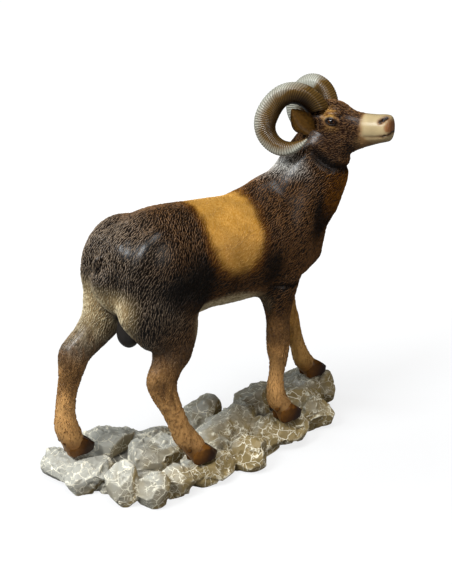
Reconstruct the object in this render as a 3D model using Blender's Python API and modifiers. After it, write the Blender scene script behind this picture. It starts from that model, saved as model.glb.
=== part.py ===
"""A painted resin figure of a mouflon ram that stands on a low bed of boulders, cast in one piece.

The ram faces +X, its own left is +Y, and the underside of the boulders lies on Z = 0.
The body is lofted through oval sections, padded with muscles and fused. The horns, ears,
hooves and boulders are then joined to it, so that one closed solid is left.
"""
import math
import random

import bmesh
import bpy
import numpy as np
from mathutils import Matrix, Vector

MM = 0.001

# Trunk: from the rump to the breast, at its widest, and from the back to the belly
BODY_LENGTH = 115.5 * MM
BODY_WIDTH = 45 * MM
BODY_DEPTH = 50 * MM
BACK_HEIGHT = 128 * MM
RUMP_X = -65 * MM

# Neck and head: the head's own frame runs forward to the nose, to its left, and up
NECK_DEPTH = 33 * MM
NECK_WIDTH = 26 * MM
HEAD_AT = Vector((50 * MM, -9 * MM, 152 * MM))
HEAD_TURN = math.radians(-60)
HEAD_LENGTH = 41 * MM
HEAD_WIDTH = 20 * MM
HEAD_DEPTH = 24 * MM
EYE_DIAMETER = 5 * MM
NOSTRIL_LENGTH = 3.6 * MM
MOUTH_WIDTH = 0.9 * MM
EAR_LENGTH = 15.6 * MM
EAR_WIDTH = 10.2 * MM
EAR_THICKNESS = 2.2 * MM

# Horns: a coil round the ear, with ribs across it
HORN_RADIUS = 11.2 * MM
HORN_THICKNESS = 10.4 * MM
HORN_WIDTH = 10.4 * MM
HORN_SWEEP = math.radians(302)
HORN_ROOT_SPACING = 12.5 * MM
HORN_SPREAD = 14 * MM
HORN_RIB_PITCH = 2.5 * MM
HORN_RIB_DEPTH = 0.4 * MM

# Legs: the middle of each sole, how far out the legs leave the trunk, and their thickness
RIGHT_HIND_FOOT = Vector((-28 * MM, -19 * MM, 12 * MM))
LEFT_HIND_FOOT = Vector((-71 * MM, 18 * MM, 13 * MM))
RIGHT_FORE_FOOT = Vector((26 * MM, -13 * MM, 15 * MM))
LEFT_FORE_FOOT = Vector((62 * MM, 12 * MM, 20 * MM))
HIP_X = -41 * MM
HIP_HALF_SPACING = 13 * MM
SHOULDER_X = 22 * MM
SHOULDER_HALF_SPACING = 12 * MM
HIND_STRIDE = 9 * MM
FORE_STRIDE = 15 * MM
HIND_LEG_WIDTH = 9 * MM
FORE_LEG_WIDTH = 8 * MM
LEG_TOP_SHARE = 0.75
LEG_FREE_ROW = 3
HOOF_LENGTH = 14.4 * MM
HOOF_WIDTH = 9.4 * MM
HOOF_HEIGHT = 6.8 * MM

# Tail and scrotum
TAIL_LENGTH = 14 * MM
TAIL_WIDTH = 5 * MM
SCROTUM_LENGTH = 18 * MM
SCROTUM_WIDTH = 11.5 * MM

# Boulders: middle, half sizes and turn of each, in millimetres and degrees
BOULDERS = (
    (-78, 27, 6, 8, 8.5, 7.5, 10),
    (-71, 9, 6.5, 14.5, 12, 9, 20),
    (-51, 27, 8, 18, 12, 10.5, -12),
    (-74, 21, 5.5, 13, 12, 9, 0),
    (-64, -12, 9, 10, 10, 11.5, 60),
    (-55, -21, 7.5, 9, 10, 9.5, 30),
    (-41, -21, 6.5, 10, 9, 8.5, 0),
    (-38, 6, 7, 19, 14, 11, 12),
    (-21, -16, 6, 16, 13, 8.5, 8),
    (1, -18, 7.5, 11, 11.5, 9.5, -20),
    (8, 7, 7.5, 20, 15, 12, 10),
    (5, 26, 8, 12, 10, 10.5, 0),
    (33, 23, 8, 16, 11, 11, 5),
    (26, -8, 7.5, 15, 12, 10.5, -8),
    (34, -10, 6, 10, 9, 8.5, 15),
    (52, -3, 7.5, 12, 11, 9.5, 25),
    (70, 13, 9.5, 8.5, 9.5, 11.5, 0),
    (61, 19, 9, 14, 13, 13, 15),
    (51, 7, 7.5, 14, 11, 11, -10),
    (-30, 21, 5, 17, 10, 8.5, 0),
    (-13, 3, 4, 17, 15, 8, 0),
)
PLINTH_HEIGHT = 5 * MM
PLINTH_OUTLINE = ((-77, 22), (-71, 2), (-62, -14), (-42, -18), (-20, -20), (2, -19), (28, -12), (52, -6),
                  (67, 10), (60, 23), (34, 26), (6, 29), (-20, 24), (-50, 32), (-72, 29))
BOULDER_CUTS = 20
SHALLOWEST_CUT = 0.88
DEEPEST_CUT = 0.69
GROUND_DEPTH = 12 * MM

# How finely the soft forms are meshed, and how many faces they keep
ROUGH_VOXEL = 1.5 * MM
FINE_VOXEL = 0.8 * MM
FLESH_ROUNDS = 14
SKIN_ROUNDS = 3
FIGURE_FACES = 6300
BED_FACES = 2400
SEED = 7


def smooth_rows(rows, steps):
    """Rows of numbers on a smooth curve through the given ones, with steps rows for each gap."""
    rows = np.array(rows, float)
    padded = np.vstack([2 * rows[0] - rows[1], rows, 2 * rows[-1] - rows[-2]])
    found = []
    for index in range(1, len(padded) - 2):
        before, start, end, after = padded[index - 1:index + 3]
        for step in range(steps):
            t = step / steps
            bend = 2 * before - 5 * start + 4 * end - after
            twist = 3 * start - before - 3 * end + after
            found.append(0.5 * (2 * start + (end - before) * t + bend * t ** 2 + twist * t ** 3))
    found.append(rows[-1])
    return found


def new_object(name, mesh):
    """An object in the scene that holds the bmesh, with its faces turned outwards."""
    bmesh.ops.recalc_face_normals(mesh, faces=mesh.faces)
    data = bpy.data.meshes.new(name)
    mesh.to_mesh(data)
    mesh.free()
    made = bpy.data.objects.new(name, data)
    bpy.context.scene.collection.objects.link(made)
    return made


def skin(name, rings):
    """A closed solid through rings of points, with a point in the middle of each end."""
    mesh = bmesh.new()
    made = [[mesh.verts.new(point) for point in ring] for ring in rings]
    for lower, upper in zip(made, made[1:]):
        for index in range(len(lower)):
            after = (index + 1) % len(lower)
            mesh.faces.new((lower[index], lower[after], upper[after], upper[index]))
    for ring in (made[0], made[-1]):
        middle = sum((vertex.co for vertex in ring), Vector()) / len(ring)
        pole = mesh.verts.new(middle)
        for index in range(len(ring)):
            mesh.faces.new((ring[index], ring[(index + 1) % len(ring)], pole))
    return new_object(name, mesh)


def loft(name, rows, steps=4, points=20):
    """A solid through oval sections. A row is x, y, z, half width, rise, drop and turn.

    The rise is measured towards the back of the path and the drop away from it.
    """
    rows = smooth_rows(rows, steps)
    middles = [Vector(row[:3]) for row in rows]
    last = len(rows) - 1
    rings = []
    for index, row in enumerate(rows):
        along = (middles[min(index + 1, last)] - middles[max(index - 1, 0)]).normalized()
        side = Vector((-math.sin(row[6]), math.cos(row[6]), 0))
        rise = along.cross(side).normalized()
        side = rise.cross(along)
        ring = []
        for step in range(points):
            angle = 2 * math.pi * step / points
            height = row[4] if math.sin(angle) > 0 else row[5]
            across = side * math.cos(angle) * row[3]
            ring.append(middles[index] + across + rise * math.sin(angle) * height)
        rings.append(ring)
    return skin(name, rings)


def pad(name, middle, sizes, turn=0.0, pitch=0.0, detail=3):
    """A rounded muscle or lump with the given half sizes, pitched nose down and then turned."""
    mesh = bmesh.new()
    bmesh.ops.create_icosphere(mesh, subdivisions=detail, radius=1)
    place = Matrix.Translation(middle) @ Matrix.Rotation(turn, 4, "Z")
    place = place @ Matrix.Rotation(pitch, 4, "Y") @ Matrix.Diagonal((*sizes, 1))
    bmesh.ops.transform(mesh, matrix=place, verts=mesh.verts)
    return new_object(name, mesh)


def chiselled(name, middle, sizes, turn, cuts, detail=2):
    """A lump dressed flat wherever a cut, a direction and its depth, meets the unit ball."""
    mesh = bmesh.new()
    bmesh.ops.create_icosphere(mesh, subdivisions=detail, radius=1)
    for vertex in mesh.verts:
        reach = 1.0
        for direction, depth in cuts:
            facing = vertex.co.dot(direction)
            if facing > depth * 0.999:
                reach = min(reach, depth / facing)
        vertex.co *= reach
    place = Matrix.Translation(middle) @ Matrix.Rotation(turn, 4, "Z") @ Matrix.Diagonal((*sizes, 1))
    bmesh.ops.transform(mesh, matrix=place, verts=mesh.verts)
    return new_object(name, mesh)


def apply_modifiers(made):
    """Turns an object's modifiers into its mesh."""
    graph = bpy.context.evaluated_depsgraph_get()
    mesh = bpy.data.meshes.new_from_object(made.evaluated_get(graph))
    made.modifiers.clear()
    made.data = mesh


def join_meshes(name, pieces):
    """One object that holds the meshes of all the pieces, which are removed."""
    mesh = bmesh.new()
    for piece in pieces:
        mesh.from_mesh(piece.data)
        bpy.data.objects.remove(piece)
    data = bpy.data.meshes.new(name)
    mesh.to_mesh(data)
    mesh.free()
    made = bpy.data.objects.new(name, data)
    bpy.context.scene.collection.objects.link(made)
    return made


def fuse(name, pieces, voxel, rounds, faces=None):
    """One soft solid from overlapping pieces, smoothed, and thinned to a number of faces."""
    made = join_meshes(name, pieces)
    remesh = made.modifiers.new("Fuse", "REMESH")
    remesh.mode = "VOXEL"
    remesh.voxel_size = voxel
    soften = made.modifiers.new("Soften", "SMOOTH")
    soften.factor = 0.5
    soften.iterations = int(rounds)
    apply_modifiers(made)
    if faces is None:
        return made
    thin = made.modifiers.new("Thin", "DECIMATE")
    thin.ratio = min(1.0, faces / (2 * len(made.data.polygons)))
    apply_modifiers(made)
    return made


def boolean(made, others, operation):
    """Joins the other solids to an object, or cuts them from it, and removes them."""
    for other in others:
        change = made.modifiers.new(operation.title(), "BOOLEAN")
        change.operation = operation
        change.object = other
        apply_modifiers(made)
        bpy.data.objects.remove(other)


def belly_point(share, height):
    """A point in the middle plane of the trunk, at a share of its length and of its depth."""
    return Vector((RUMP_X + share * BODY_LENGTH, 0, BACK_HEIGHT - BODY_DEPTH * (1 - height)))


def trunk():
    """The barrel. A row is a share of the length, the crest's height in millimetres against the
    back, and shares of the depth and of the width."""
    shape = (
        (0.000, -20.0, 0.12, 0.14),
        (0.022, -13.0, 0.46, 0.42),
        (0.075, -6.5, 0.76, 0.66),
        (0.155, -2.2, 0.94, 0.86),
        (0.260, 0.2, 1.00, 1.00),
        (0.380, 0.0, 0.98, 0.93),
        (0.500, -0.4, 0.985, 0.97),
        (0.610, -0.9, 0.97, 1.00),
        (0.690, 1.2, 1.00, 0.97),
        (0.780, 3.8, 1.05, 0.90),
        (0.860, 2.0, 1.00, 0.80),
        (0.930, -6.0, 0.80, 0.68),
        (0.980, -15.0, 0.54, 0.46),
        (1.000, -24.0, 0.16, 0.16),
    )
    rows = []
    for along, crest, depth, width in shape:
        top = BACK_HEIGHT + crest * MM
        tall = depth * BODY_DEPTH
        rows.append((RUMP_X + along * BODY_LENGTH, 0, top - 0.52 * tall,
                     width * BODY_WIDTH / 2, 0.52 * tall, 0.48 * tall, 0))
    return loft("Trunk", rows, points=28)


def neck():
    """The neck leaves the withers, rises and turns with the head. A row is a share of the way
    up, the bow forward in millimetres, and shares of the width, the depth and the turn."""
    root = belly_point(0.76, 0.55)
    shape = (
        (0.00, 0.0, 1.30, 1.46, 0.00),
        (0.22, 2.6, 1.18, 1.28, 0.06),
        (0.42, 3.6, 1.08, 1.14, 0.22),
        (0.60, 3.2, 0.98, 1.03, 0.48),
        (0.78, 1.6, 0.90, 0.90, 0.76),
        (0.94, 0.4, 0.82, 0.74, 1.00),
        (1.04, 0.0, 0.60, 0.46, 1.00),
    )
    rows = []
    for way, bow, width, depth, turn in shape:
        middle = root.lerp(HEAD_AT, way) + Vector((bow * MM, 0, 0))
        half = depth * NECK_DEPTH / 2
        rows.append((*middle, width * NECK_WIDTH / 2, half * 0.89, half * 1.12, turn * HEAD_TURN))
    return loft("Neck", rows)


def on_head(forward, left, up):
    """A point given in millimetres in the head's own frame, in the figure's frame."""
    turned = Matrix.Rotation(HEAD_TURN, 3, "Z") @ Vector((forward * MM, left * MM, up * MM))
    return HEAD_AT + turned


def head():
    """Skull, cheeks and muzzle. A row is a share of the head's length from the back of the
    skull, the height of its middle in millimetres, and shares of the width and of the depth
    above and below."""
    shape = (
        (0.00, 6.0, 0.46, 0.20, 0.20),
        (0.09, 6.0, 0.84, 0.35, 0.38),
        (0.24, 5.0, 1.00, 0.42, 0.52),
        (0.36, 4.2, 1.00, 0.42, 0.60),
        (0.49, 3.4, 0.86, 0.34, 0.56),
        (0.60, 3.2, 0.72, 0.295, 0.43),
        (0.72, 3.2, 0.63, 0.285, 0.34),
        (0.84, 3.5, 0.58, 0.275, 0.275),
        (0.92, 3.8, 0.56, 0.275, 0.250),
        (0.975, 3.8, 0.50, 0.250, 0.225),
        (1.00, 3.8, 0.30, 0.16, 0.15),
    )
    rows = []
    for along, middle, width, rise, drop in shape:
        point = on_head(along * HEAD_LENGTH / MM - 10, 0, middle)
        rows.append((*point, width * HEAD_WIDTH / 2, rise * HEAD_DEPTH, drop * HEAD_DEPTH, HEAD_TURN))
    return loft("Head", rows)


def leg(name, hip, foot, shape, width, first):
    """A leg from the trunk down to the hoof, from its first row on, where it starts narrow. A row
    is a share of the way down, how far its middle lies ahead of the straight line in
    millimetres, and shares of the width for its half width, front and back."""
    rows = []
    for index, (way, ahead, half, front, back) in enumerate(shape[first:]):
        middle = hip.lerp(foot, way) + Vector((ahead * MM, 0, 0))
        full = width * (1 if index else LEG_TOP_SHARE)
        rows.append((*middle, half * full, front * full, back * full, 0))
    return loft(name, rows, points=16)


def legs(first=0):
    """The four legs. Hind legs bend back at the hock, and forelegs run straight to the knee."""
    hip_height = BACK_HEIGHT - 0.56 * BODY_DEPTH
    elbow_height = BACK_HEIGHT - 0.62 * BODY_DEPTH
    right_hip = Vector((HIP_X, -HIP_HALF_SPACING, hip_height))
    left_hip = Vector((HIP_X - HIND_STRIDE, HIP_HALF_SPACING, hip_height))
    right_elbow = Vector((SHOULDER_X, -SHOULDER_HALF_SPACING, elbow_height))
    left_elbow = Vector((SHOULDER_X + FORE_STRIDE, SHOULDER_HALF_SPACING, elbow_height))
    right_hind = (
        (0.00, -5.0, 1.20, 2.60, 2.05),
        (0.12, -6.0, 1.16, 2.95, 2.10),
        (0.23, -5.3, 1.04, 2.40, 1.55),
        (0.30, -3.2, 0.95, 1.62, 1.22),
        (0.37, -4.0, 0.84, 1.16, 0.94),
        (0.44, -7.4, 0.69, 0.84, 0.72),
        (0.51, -10.5, 0.62, 0.74, 0.84),
        (0.58, -10.9, 0.56, 0.66, 0.66),
        (0.65, -9.4, 0.49, 0.55, 0.55),
        (0.74, -7.5, 0.46, 0.51, 0.51),
        (0.83, -5.4, 0.50, 0.56, 0.57),
        (0.91, -1.6, 0.52, 0.58, 0.56),
        (1.00, 1.0, 0.40, 0.50, 0.40),
    )
    left_hind = (
        (0.00, 0.0, 1.20, 1.95, 1.90),
        (0.16, 0.5, 1.08, 1.45, 1.45),
        (0.28, -2.2, 0.88, 1.04, 1.04),
        (0.36, -7.5, 0.76, 0.84, 0.84),
        (0.42, -11.6, 0.68, 0.76, 0.84),
        (0.49, -12.0, 0.60, 0.66, 0.72),
        (0.56, -12.1, 0.50, 0.56, 0.56),
        (0.64, -12.0, 0.45, 0.49, 0.49),
        (0.73, -10.9, 0.46, 0.51, 0.51),
        (0.82, -8.9, 0.53, 0.60, 0.60),
        (0.90, -4.9, 0.55, 0.62, 0.58),
        (1.00, -0.5, 0.42, 0.50, 0.42),
    )
    right_fore = (
        (-0.10, 2.0, 1.05, 1.50, 1.50),
        (0.10, -1.0, 1.00, 1.28, 1.25),
        (0.21, -2.3, 0.92, 1.06, 1.04),
        (0.30, -2.3, 0.72, 0.82, 0.82),
        (0.41, -2.7, 0.62, 0.72, 0.70),
        (0.53, -3.1, 0.60, 0.70, 0.67),
        (0.60, -3.2, 0.50, 0.57, 0.57),
        (0.68, -4.3, 0.41, 0.46, 0.46),
        (0.77, -5.4, 0.46, 0.54, 0.54),
        (0.85, -4.6, 0.54, 0.62, 0.60),
        (0.92, -1.2, 0.52, 0.58, 0.54),
        (1.00, 0.5, 0.44, 0.50, 0.44),
    )
    left_fore = (
        (-0.10, 0.0, 1.00, 1.40, 1.40),
        (0.10, -1.5, 0.98, 1.25, 1.20),
        (0.25, -3.2, 0.82, 0.98, 0.98),
        (0.41, -3.9, 0.66, 0.76, 0.76),
        (0.53, -3.9, 0.58, 0.64, 0.64),
        (0.64, -3.7, 0.48, 0.53, 0.53),
        (0.74, -3.2, 0.42, 0.47, 0.47),
        (0.82, -3.0, 0.48, 0.54, 0.54),
        (0.88, -2.2, 0.55, 0.60, 0.58),
        (0.94, 0.0, 0.52, 0.58, 0.54),
        (1.00, 1.0, 0.44, 0.50, 0.44),
    )
    return [
        leg("Right hind leg", right_hip, RIGHT_HIND_FOOT, right_hind, HIND_LEG_WIDTH, first),
        leg("Left hind leg", left_hip, LEFT_HIND_FOOT, left_hind, HIND_LEG_WIDTH, first),
        leg("Right foreleg", right_elbow, RIGHT_FORE_FOOT, right_fore, FORE_LEG_WIDTH, first),
        leg("Left foreleg", left_elbow, LEFT_FORE_FOOT, left_fore, FORE_LEG_WIDTH, first),
    ]


def muscles():
    """Thighs, buttocks, shoulders, withers, breast and sheath."""
    mid = BACK_HEIGHT - 0.56 * BODY_DEPTH
    made = []
    for side in (-1, 1):
        hip_x = HIP_X if side < 0 else HIP_X - 0.6 * HIND_STRIDE
        shoulder_x = SHOULDER_X if side < 0 else SHOULDER_X + 0.5 * FORE_STRIDE
        made += [
            pad("Thigh", (hip_x - 2 * MM, side * HIP_HALF_SPACING, mid + 1.5 * MM),
                (18.3 * MM, 10.6 * MM, 23 * MM), pitch=0.16),
            pad("Buttock", (RUMP_X + 11 * MM, side * 6 * MM, mid + 2.5 * MM),
                (9.5 * MM, 8 * MM, 18 * MM), pitch=-0.12),
            pad("Shoulder", (shoulder_x + 5 * MM, side * 0.95 * SHOULDER_HALF_SPACING, mid + 4 * MM),
                (13 * MM, 9.5 * MM, 24 * MM), pitch=0.30),
        ]
    made.append(pad("Rump", (RUMP_X + 11 * MM, 0, mid + 6 * MM), (10.5 * MM, 9 * MM, 15 * MM)))
    made.append(pad("Withers", belly_point(0.79, 1.0), (18 * MM, 8 * MM, 7 * MM), pitch=-0.15))
    throat = HEAD_AT + Vector((-1 * MM, 1 * MM, -28 * MM))
    made.append(pad("Throat", throat, (10 * MM, 8 * MM, 16 * MM), pitch=0.15))
    made.append(pad("Neck front", belly_point(0.94, 0.70), (9.5 * MM, 9 * MM, 13 * MM), pitch=0.30))
    made.append(pad("Breast", belly_point(0.887, 0.42), (13.8 * MM, 13 * MM, 18 * MM), pitch=0.30))
    made.append(pad("Sheath", belly_point(0.40, 0.03), (11 * MM, 4.5 * MM, 4 * MM)))
    return made


def face():
    """Cheeks, brows, eyeballs and the lids round them."""
    ball = EYE_DIAMETER / 2
    made = []
    for side in (-1, 1):
        cheek = on_head(6, side * 6, -1)
        made.append(pad("Cheek", cheek, (7 * MM, 3.6 * MM, 7.5 * MM), HEAD_TURN))
        made.append(pad("Brow", on_head(4.5, side * 7.4, 10.0), (4.6 * MM, 2.0 * MM, 1.5 * MM), HEAD_TURN))
        made.append(pad("Eyeball", on_head(5, side * 9.2, 6.9), (ball, ball * 0.7, ball * 0.72), HEAD_TURN))
        for up in (1, -1):
            lid = on_head(5, side * 9.3, 6.9 + up * 2.0)
            made.append(pad("Lid", lid, (ball * 1.25, 1.5 * MM, 0.8 * MM), HEAD_TURN))
    return made


def horn(side):
    """A horn that leaves the forehead, coils back and down round the ear and ends by the jaw.

    Across the coil it is a rounded triangle with its broad side out, and ribs run round it.
    """
    coil_middle = (-13, 7.4)
    root_angle = math.radians(18)
    ribs = round(HORN_RADIUS * HORN_SWEEP / HORN_RIB_PITCH)
    stations = 2 * ribs
    section = smooth_rows(((1, 0), (0.58, 0.90), (-0.55, 0.80), (-1, 0),
                           (-0.55, -0.80), (0.58, -0.90), (1, 0)), 2)[:-1]
    shape = smooth_rows((
        (0.00, 0.00, 1.00, 1.04),
        (0.20, 0.45, 1.05, 0.97),
        (0.40, 0.78, 0.83, 1.00),
        (0.55, 0.92, 0.84, 1.05),
        (0.70, 1.00, 0.97, 0.88),
        (0.84, 1.00, 1.09, 0.70),
        (0.94, 0.84, 1.10, 0.38),
        (1.00, 0.65, 1.08, 0.08),
    ), 6)
    rings = []
    for station in range(stations + 1):
        way = station / stations
        row = [np.interp(way, [r[0] for r in shape], [r[column] for r in shape]) for column in (1, 2, 3)]
        angle = root_angle + way * HORN_SWEEP
        radius = row[1] * HORN_RADIUS / MM
        thick = row[2] * HORN_THICKNESS / 2
        wide = row[2] * HORN_WIDTH / 2
        rib = HORN_RIB_DEPTH * min(1, 8 * (1 - way)) * (station % 2)
        left = side * (HORN_ROOT_SPACING / 2 + row[0] * HORN_SPREAD) / MM
        middle = on_head(coil_middle[0] + radius * math.cos(angle), left,
                         coil_middle[1] + radius * math.sin(angle))
        out = on_head(math.cos(angle) / MM, 0, math.sin(angle) / MM) - HEAD_AT
        across = on_head(0, side / MM, 0) - HEAD_AT
        rings.append([middle + out * point[0] * (thick - rib) + across * point[1] * (wide - rib)
                      for point in section])
    return skin("Horn", rings)


def ear(side):
    """A cupped leaf that points back and up inside the horn's coil."""
    root = on_head(-3.5, side * 8.5, 0.5)
    tip = on_head(-12, side * 15.5, 12.7)
    along = (tip - root).normalized()
    outward = (on_head(0.35, side, 0.1) - HEAD_AT).normalized()
    wide = along.cross(outward).normalized()
    rings = []
    leaf = ((0.0, 0.34), (0.18, 0.66), (0.40, 0.98), (0.60, 0.94), (0.80, 0.62), (0.93, 0.28), (1.0, 0.06))
    for way, width in leaf:
        middle = root + along * way * EAR_LENGTH
        ring = []
        for step in range(12):
            angle = 2 * math.pi * step / 12
            across = math.cos(angle)
            cup = 0.30 * EAR_WIDTH * width * across ** 2
            thick = 0.5 * EAR_THICKNESS * math.sin(angle) * (0.35 + 0.65 * width)
            ring.append(middle + wide * across * width * EAR_WIDTH / 2 + outward * (cup + thick))
        rings.append(ring)
    return skin("Ear", rings)


def face_cuts():
    """Cutters for the nostrils and for the line of the mouth, which runs round the muzzle."""
    made = []
    for side in (-1, 1):
        sizes = (NOSTRIL_LENGTH / 2, 1.0 * MM, 1.0 * MM)
        made.append(pad("Nostril", on_head(27.6, side * 4.4, 8.2), sizes,
                        HEAD_TURN + side * 0.5, pitch=-0.6, detail=2))
    route = ((20.5, 6.6, 0.6), (24, 6.2, 0.9), (27.5, 5.5, 1.3), (29.6, 4.0, 2.0), (30.8, 1.6, 2.5))
    points = [on_head(*point) for point in route]
    points += [on_head(forward, -left, up) for forward, left, up in reversed(route)]
    curve = bpy.data.curves.new("Mouth", "CURVE")
    curve.dimensions = "3D"
    curve.bevel_depth = MOUTH_WIDTH / 2
    curve.bevel_resolution = 1
    curve.use_fill_caps = True
    spline = curve.splines.new("POLY")
    spline.points.add(len(points) - 1)
    for target, point in zip(spline.points, points):
        target.co = (*point, 1)
    tube = bpy.data.objects.new("Mouth tube", curve)
    bpy.context.scene.collection.objects.link(tube)
    graph = bpy.context.evaluated_depsgraph_get()
    mesh = bmesh.new()
    mesh.from_mesh(bpy.data.meshes.new_from_object(tube.evaluated_get(graph)))
    bmesh.ops.remove_doubles(mesh, verts=mesh.verts, dist=0.01 * MM)
    bpy.data.objects.remove(tube)
    made.append(new_object("Mouth", mesh))
    return made


def hoof(foot):
    """Two pointed claws side by side, flat underneath and sloped at the toe, with two dewclaws."""
    cuts = ((Vector((0, 0, -1)), 0.55), (Vector((0.60, 0, 0.80)), 0.62), (Vector((0.35, 0, 0.93)), 0.74))
    made = []
    for side in (-1, 1):
        inner = (Vector((0, -side, 0)), 0.86)
        middle = foot + Vector((1.5 * MM, side * HOOF_WIDTH * 0.25, 0.55 * HOOF_HEIGHT))
        made.append(chiselled("Claw", middle, (HOOF_LENGTH / 2, HOOF_WIDTH * 0.27, HOOF_HEIGHT),
                              -side * 0.10, (*cuts, inner)))
        heel = foot + Vector((-HOOF_LENGTH * 0.45, side * HOOF_WIDTH * 0.24, HOOF_HEIGHT * 1.25))
        made.append(pad("Dewclaw", heel, (1.5 * MM, 1.3 * MM, 2.0 * MM), pitch=0.5, detail=2))
    return made


def tail():
    """A short flat tail that lies against the rump."""
    root = Vector((RUMP_X + 3.5 * MM, 1 * MM, BACK_HEIGHT - 17 * MM))
    tip = root + Vector((0, 2 * MM, -TAIL_LENGTH))
    rows = []
    shape = ((0, 0.5, 0.3), (0.2, 0.9, 0.5), (0.6, 1.0, 0.5), (0.9, 0.6, 0.35), (1, 0.2, 0.1))
    for way, width, thick in shape:
        middle = root.lerp(tip, way) + Vector((-3.5 * MM * math.sin(math.pi * min(1, way + 0.2)), 0, 0))
        rows.append((*middle, width * TAIL_WIDTH / 2, thick * TAIL_WIDTH, thick * TAIL_WIDTH, 0))
    return loft("Tail", rows, steps=2, points=12)


def scrotum():
    """A hanging pouch behind the belly, between the thighs."""
    top = Vector((RUMP_X + 13 * MM, 0, BACK_HEIGHT - BODY_DEPTH + 7 * MM))
    rows = []
    for way, width in ((0, 0.5), (0.2, 0.62), (0.5, 0.98), (0.75, 0.96), (0.92, 0.60), (1, 0.16)):
        middle = top + Vector((0, 0, -way * SCROTUM_LENGTH))
        half = width * SCROTUM_WIDTH / 2
        rows.append((*middle, half, half * 0.9, half * 0.9, 0))
    return loft("Scrotum", rows, steps=2, points=14)


def boulders():
    """Chiselled lumps that overlap each other, as a list of solids that reach below the ground."""
    draw = random.Random(SEED)
    made = []
    for x, y, z, wide, deep, tall, turn in BOULDERS:
        cuts = []
        for _ in range(BOULDER_CUTS):
            direction = Vector([draw.gauss(0, 1) for _ in range(3)]).normalized()
            cuts.append((direction, draw.uniform(DEEPEST_CUT, SHALLOWEST_CUT)))
        made.append(chiselled("Boulder", Vector((x, y, z)) * MM, (wide * MM, deep * MM, tall * MM),
                              math.radians(turn), cuts, detail=3))
    return made


def plinth():
    """The plate under the boulders, whose underside stands on the ground."""
    rings = []
    for height in (-GROUND_DEPTH / 2, PLINTH_HEIGHT):
        rings.append([Vector((x * MM, y * MM, height)) for x, y in PLINTH_OUTLINE])
    return skin("Plinth", rings)


def resin():
    """Painted resin with a satin lacquer, in the coat's dark brown."""
    material = bpy.data.materials.new("Painted resin")
    material.use_nodes = True
    shader = material.node_tree.nodes["Principled BSDF"]
    shader.inputs["Base Color"].default_value = (0.085, 0.048, 0.027, 1)
    shader.inputs["Roughness"].default_value = 0.42
    shader.inputs["Metallic"].default_value = 0.0
    return material


def main():
    for old in list(bpy.data.objects):
        bpy.data.objects.remove(old)

    flesh = fuse("Flesh", [trunk(), neck(), *legs(), *muscles()], ROUGH_VOXEL, FLESH_ROUNDS)
    details = [head(), *face(), *legs(LEG_FREE_ROW), tail(), scrotum(), ear(-1), ear(1)]
    for foot in (RIGHT_HIND_FOOT, LEFT_HIND_FOOT, RIGHT_FORE_FOOT, LEFT_FORE_FOOT):
        details += hoof(foot)
    figure = fuse("mouflon_figure", [flesh, *details], FINE_VOXEL, SKIN_ROUNDS, FIGURE_FACES)

    bed = fuse("Bed", [plinth(), *boulders()], FINE_VOXEL, 1, BED_FACES)
    bpy.ops.mesh.primitive_cube_add(size=1, location=(0, 0, -GROUND_DEPTH / 2))
    ground = bpy.context.object
    ground.scale = (3 * BODY_LENGTH, 3 * BODY_LENGTH, GROUND_DEPTH)
    bpy.ops.object.transform_apply(location=True, rotation=False, scale=True)
    boolean(bed, [ground], "DIFFERENCE")
    boolean(figure, [bed, horn(-1), horn(1)], "UNION")
    boolean(figure, face_cuts(), "DIFFERENCE")

    # The origin is the middle of the footprint's box, on the ground
    corners = [Vector(corner) for corner in figure.bound_box]
    middle = (min(c.x for c in corners) + max(c.x for c in corners)) / 2
    side = (min(c.y for c in corners) + max(c.y for c in corners)) / 2
    figure.data.transform(Matrix.Translation((-middle, -side, 0)))
    figure.data.materials.clear()
    figure.data.materials.append(resin())
    return figure


main()
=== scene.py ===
"""The painted mouflon figure as it looks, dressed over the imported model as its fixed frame.

The forms repeat the solids of the model at a finer grain: coat, horns, ears, hooves and rocks. Fur
strokes and horn rings are made by Geometry Nodes, and the hand painting is worked out from where
each point lies on the ram. All forms are built in the figure's own frame, facing +X, and are
then moved so that the middle of the footprint is the origin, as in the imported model.
"""
import math
import random

import bmesh
import bpy
import numpy as np
from bpy.props import FloatProperty, FloatVectorProperty, IntProperty, PointerProperty
from mathutils import Matrix, Vector


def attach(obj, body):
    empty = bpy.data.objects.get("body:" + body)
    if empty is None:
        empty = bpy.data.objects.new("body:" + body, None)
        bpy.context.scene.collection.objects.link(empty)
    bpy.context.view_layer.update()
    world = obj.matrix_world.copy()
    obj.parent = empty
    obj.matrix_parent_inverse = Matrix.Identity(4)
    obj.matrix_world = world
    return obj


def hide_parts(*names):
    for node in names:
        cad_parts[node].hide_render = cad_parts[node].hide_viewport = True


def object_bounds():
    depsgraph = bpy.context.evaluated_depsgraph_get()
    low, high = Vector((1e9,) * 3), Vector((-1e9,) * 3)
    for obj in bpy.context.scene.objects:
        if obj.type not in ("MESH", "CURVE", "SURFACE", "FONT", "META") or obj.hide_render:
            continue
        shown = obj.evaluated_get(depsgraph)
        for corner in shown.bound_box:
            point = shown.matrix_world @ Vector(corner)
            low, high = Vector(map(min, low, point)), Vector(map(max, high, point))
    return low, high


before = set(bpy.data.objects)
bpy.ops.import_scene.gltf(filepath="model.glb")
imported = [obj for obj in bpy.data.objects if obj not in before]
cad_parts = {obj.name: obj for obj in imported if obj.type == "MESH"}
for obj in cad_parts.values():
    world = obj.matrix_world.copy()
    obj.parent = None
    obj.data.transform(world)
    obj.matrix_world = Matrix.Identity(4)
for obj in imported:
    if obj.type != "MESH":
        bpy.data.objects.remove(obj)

bl_info = {
    "name": "Painted mouflon figure",
    "version": (1, 0, 0),
    "blender": (4, 5, 0),
    "location": "3D View > Sidebar > Mouflon",
    "description": "Builds the coat, horns, hooves, rocks and stage of a cast resin mouflon",
    "category": "Object",
}

MM = 0.001
CAD_NODE = "mouflon_figure"
CAD_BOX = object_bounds()

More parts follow.
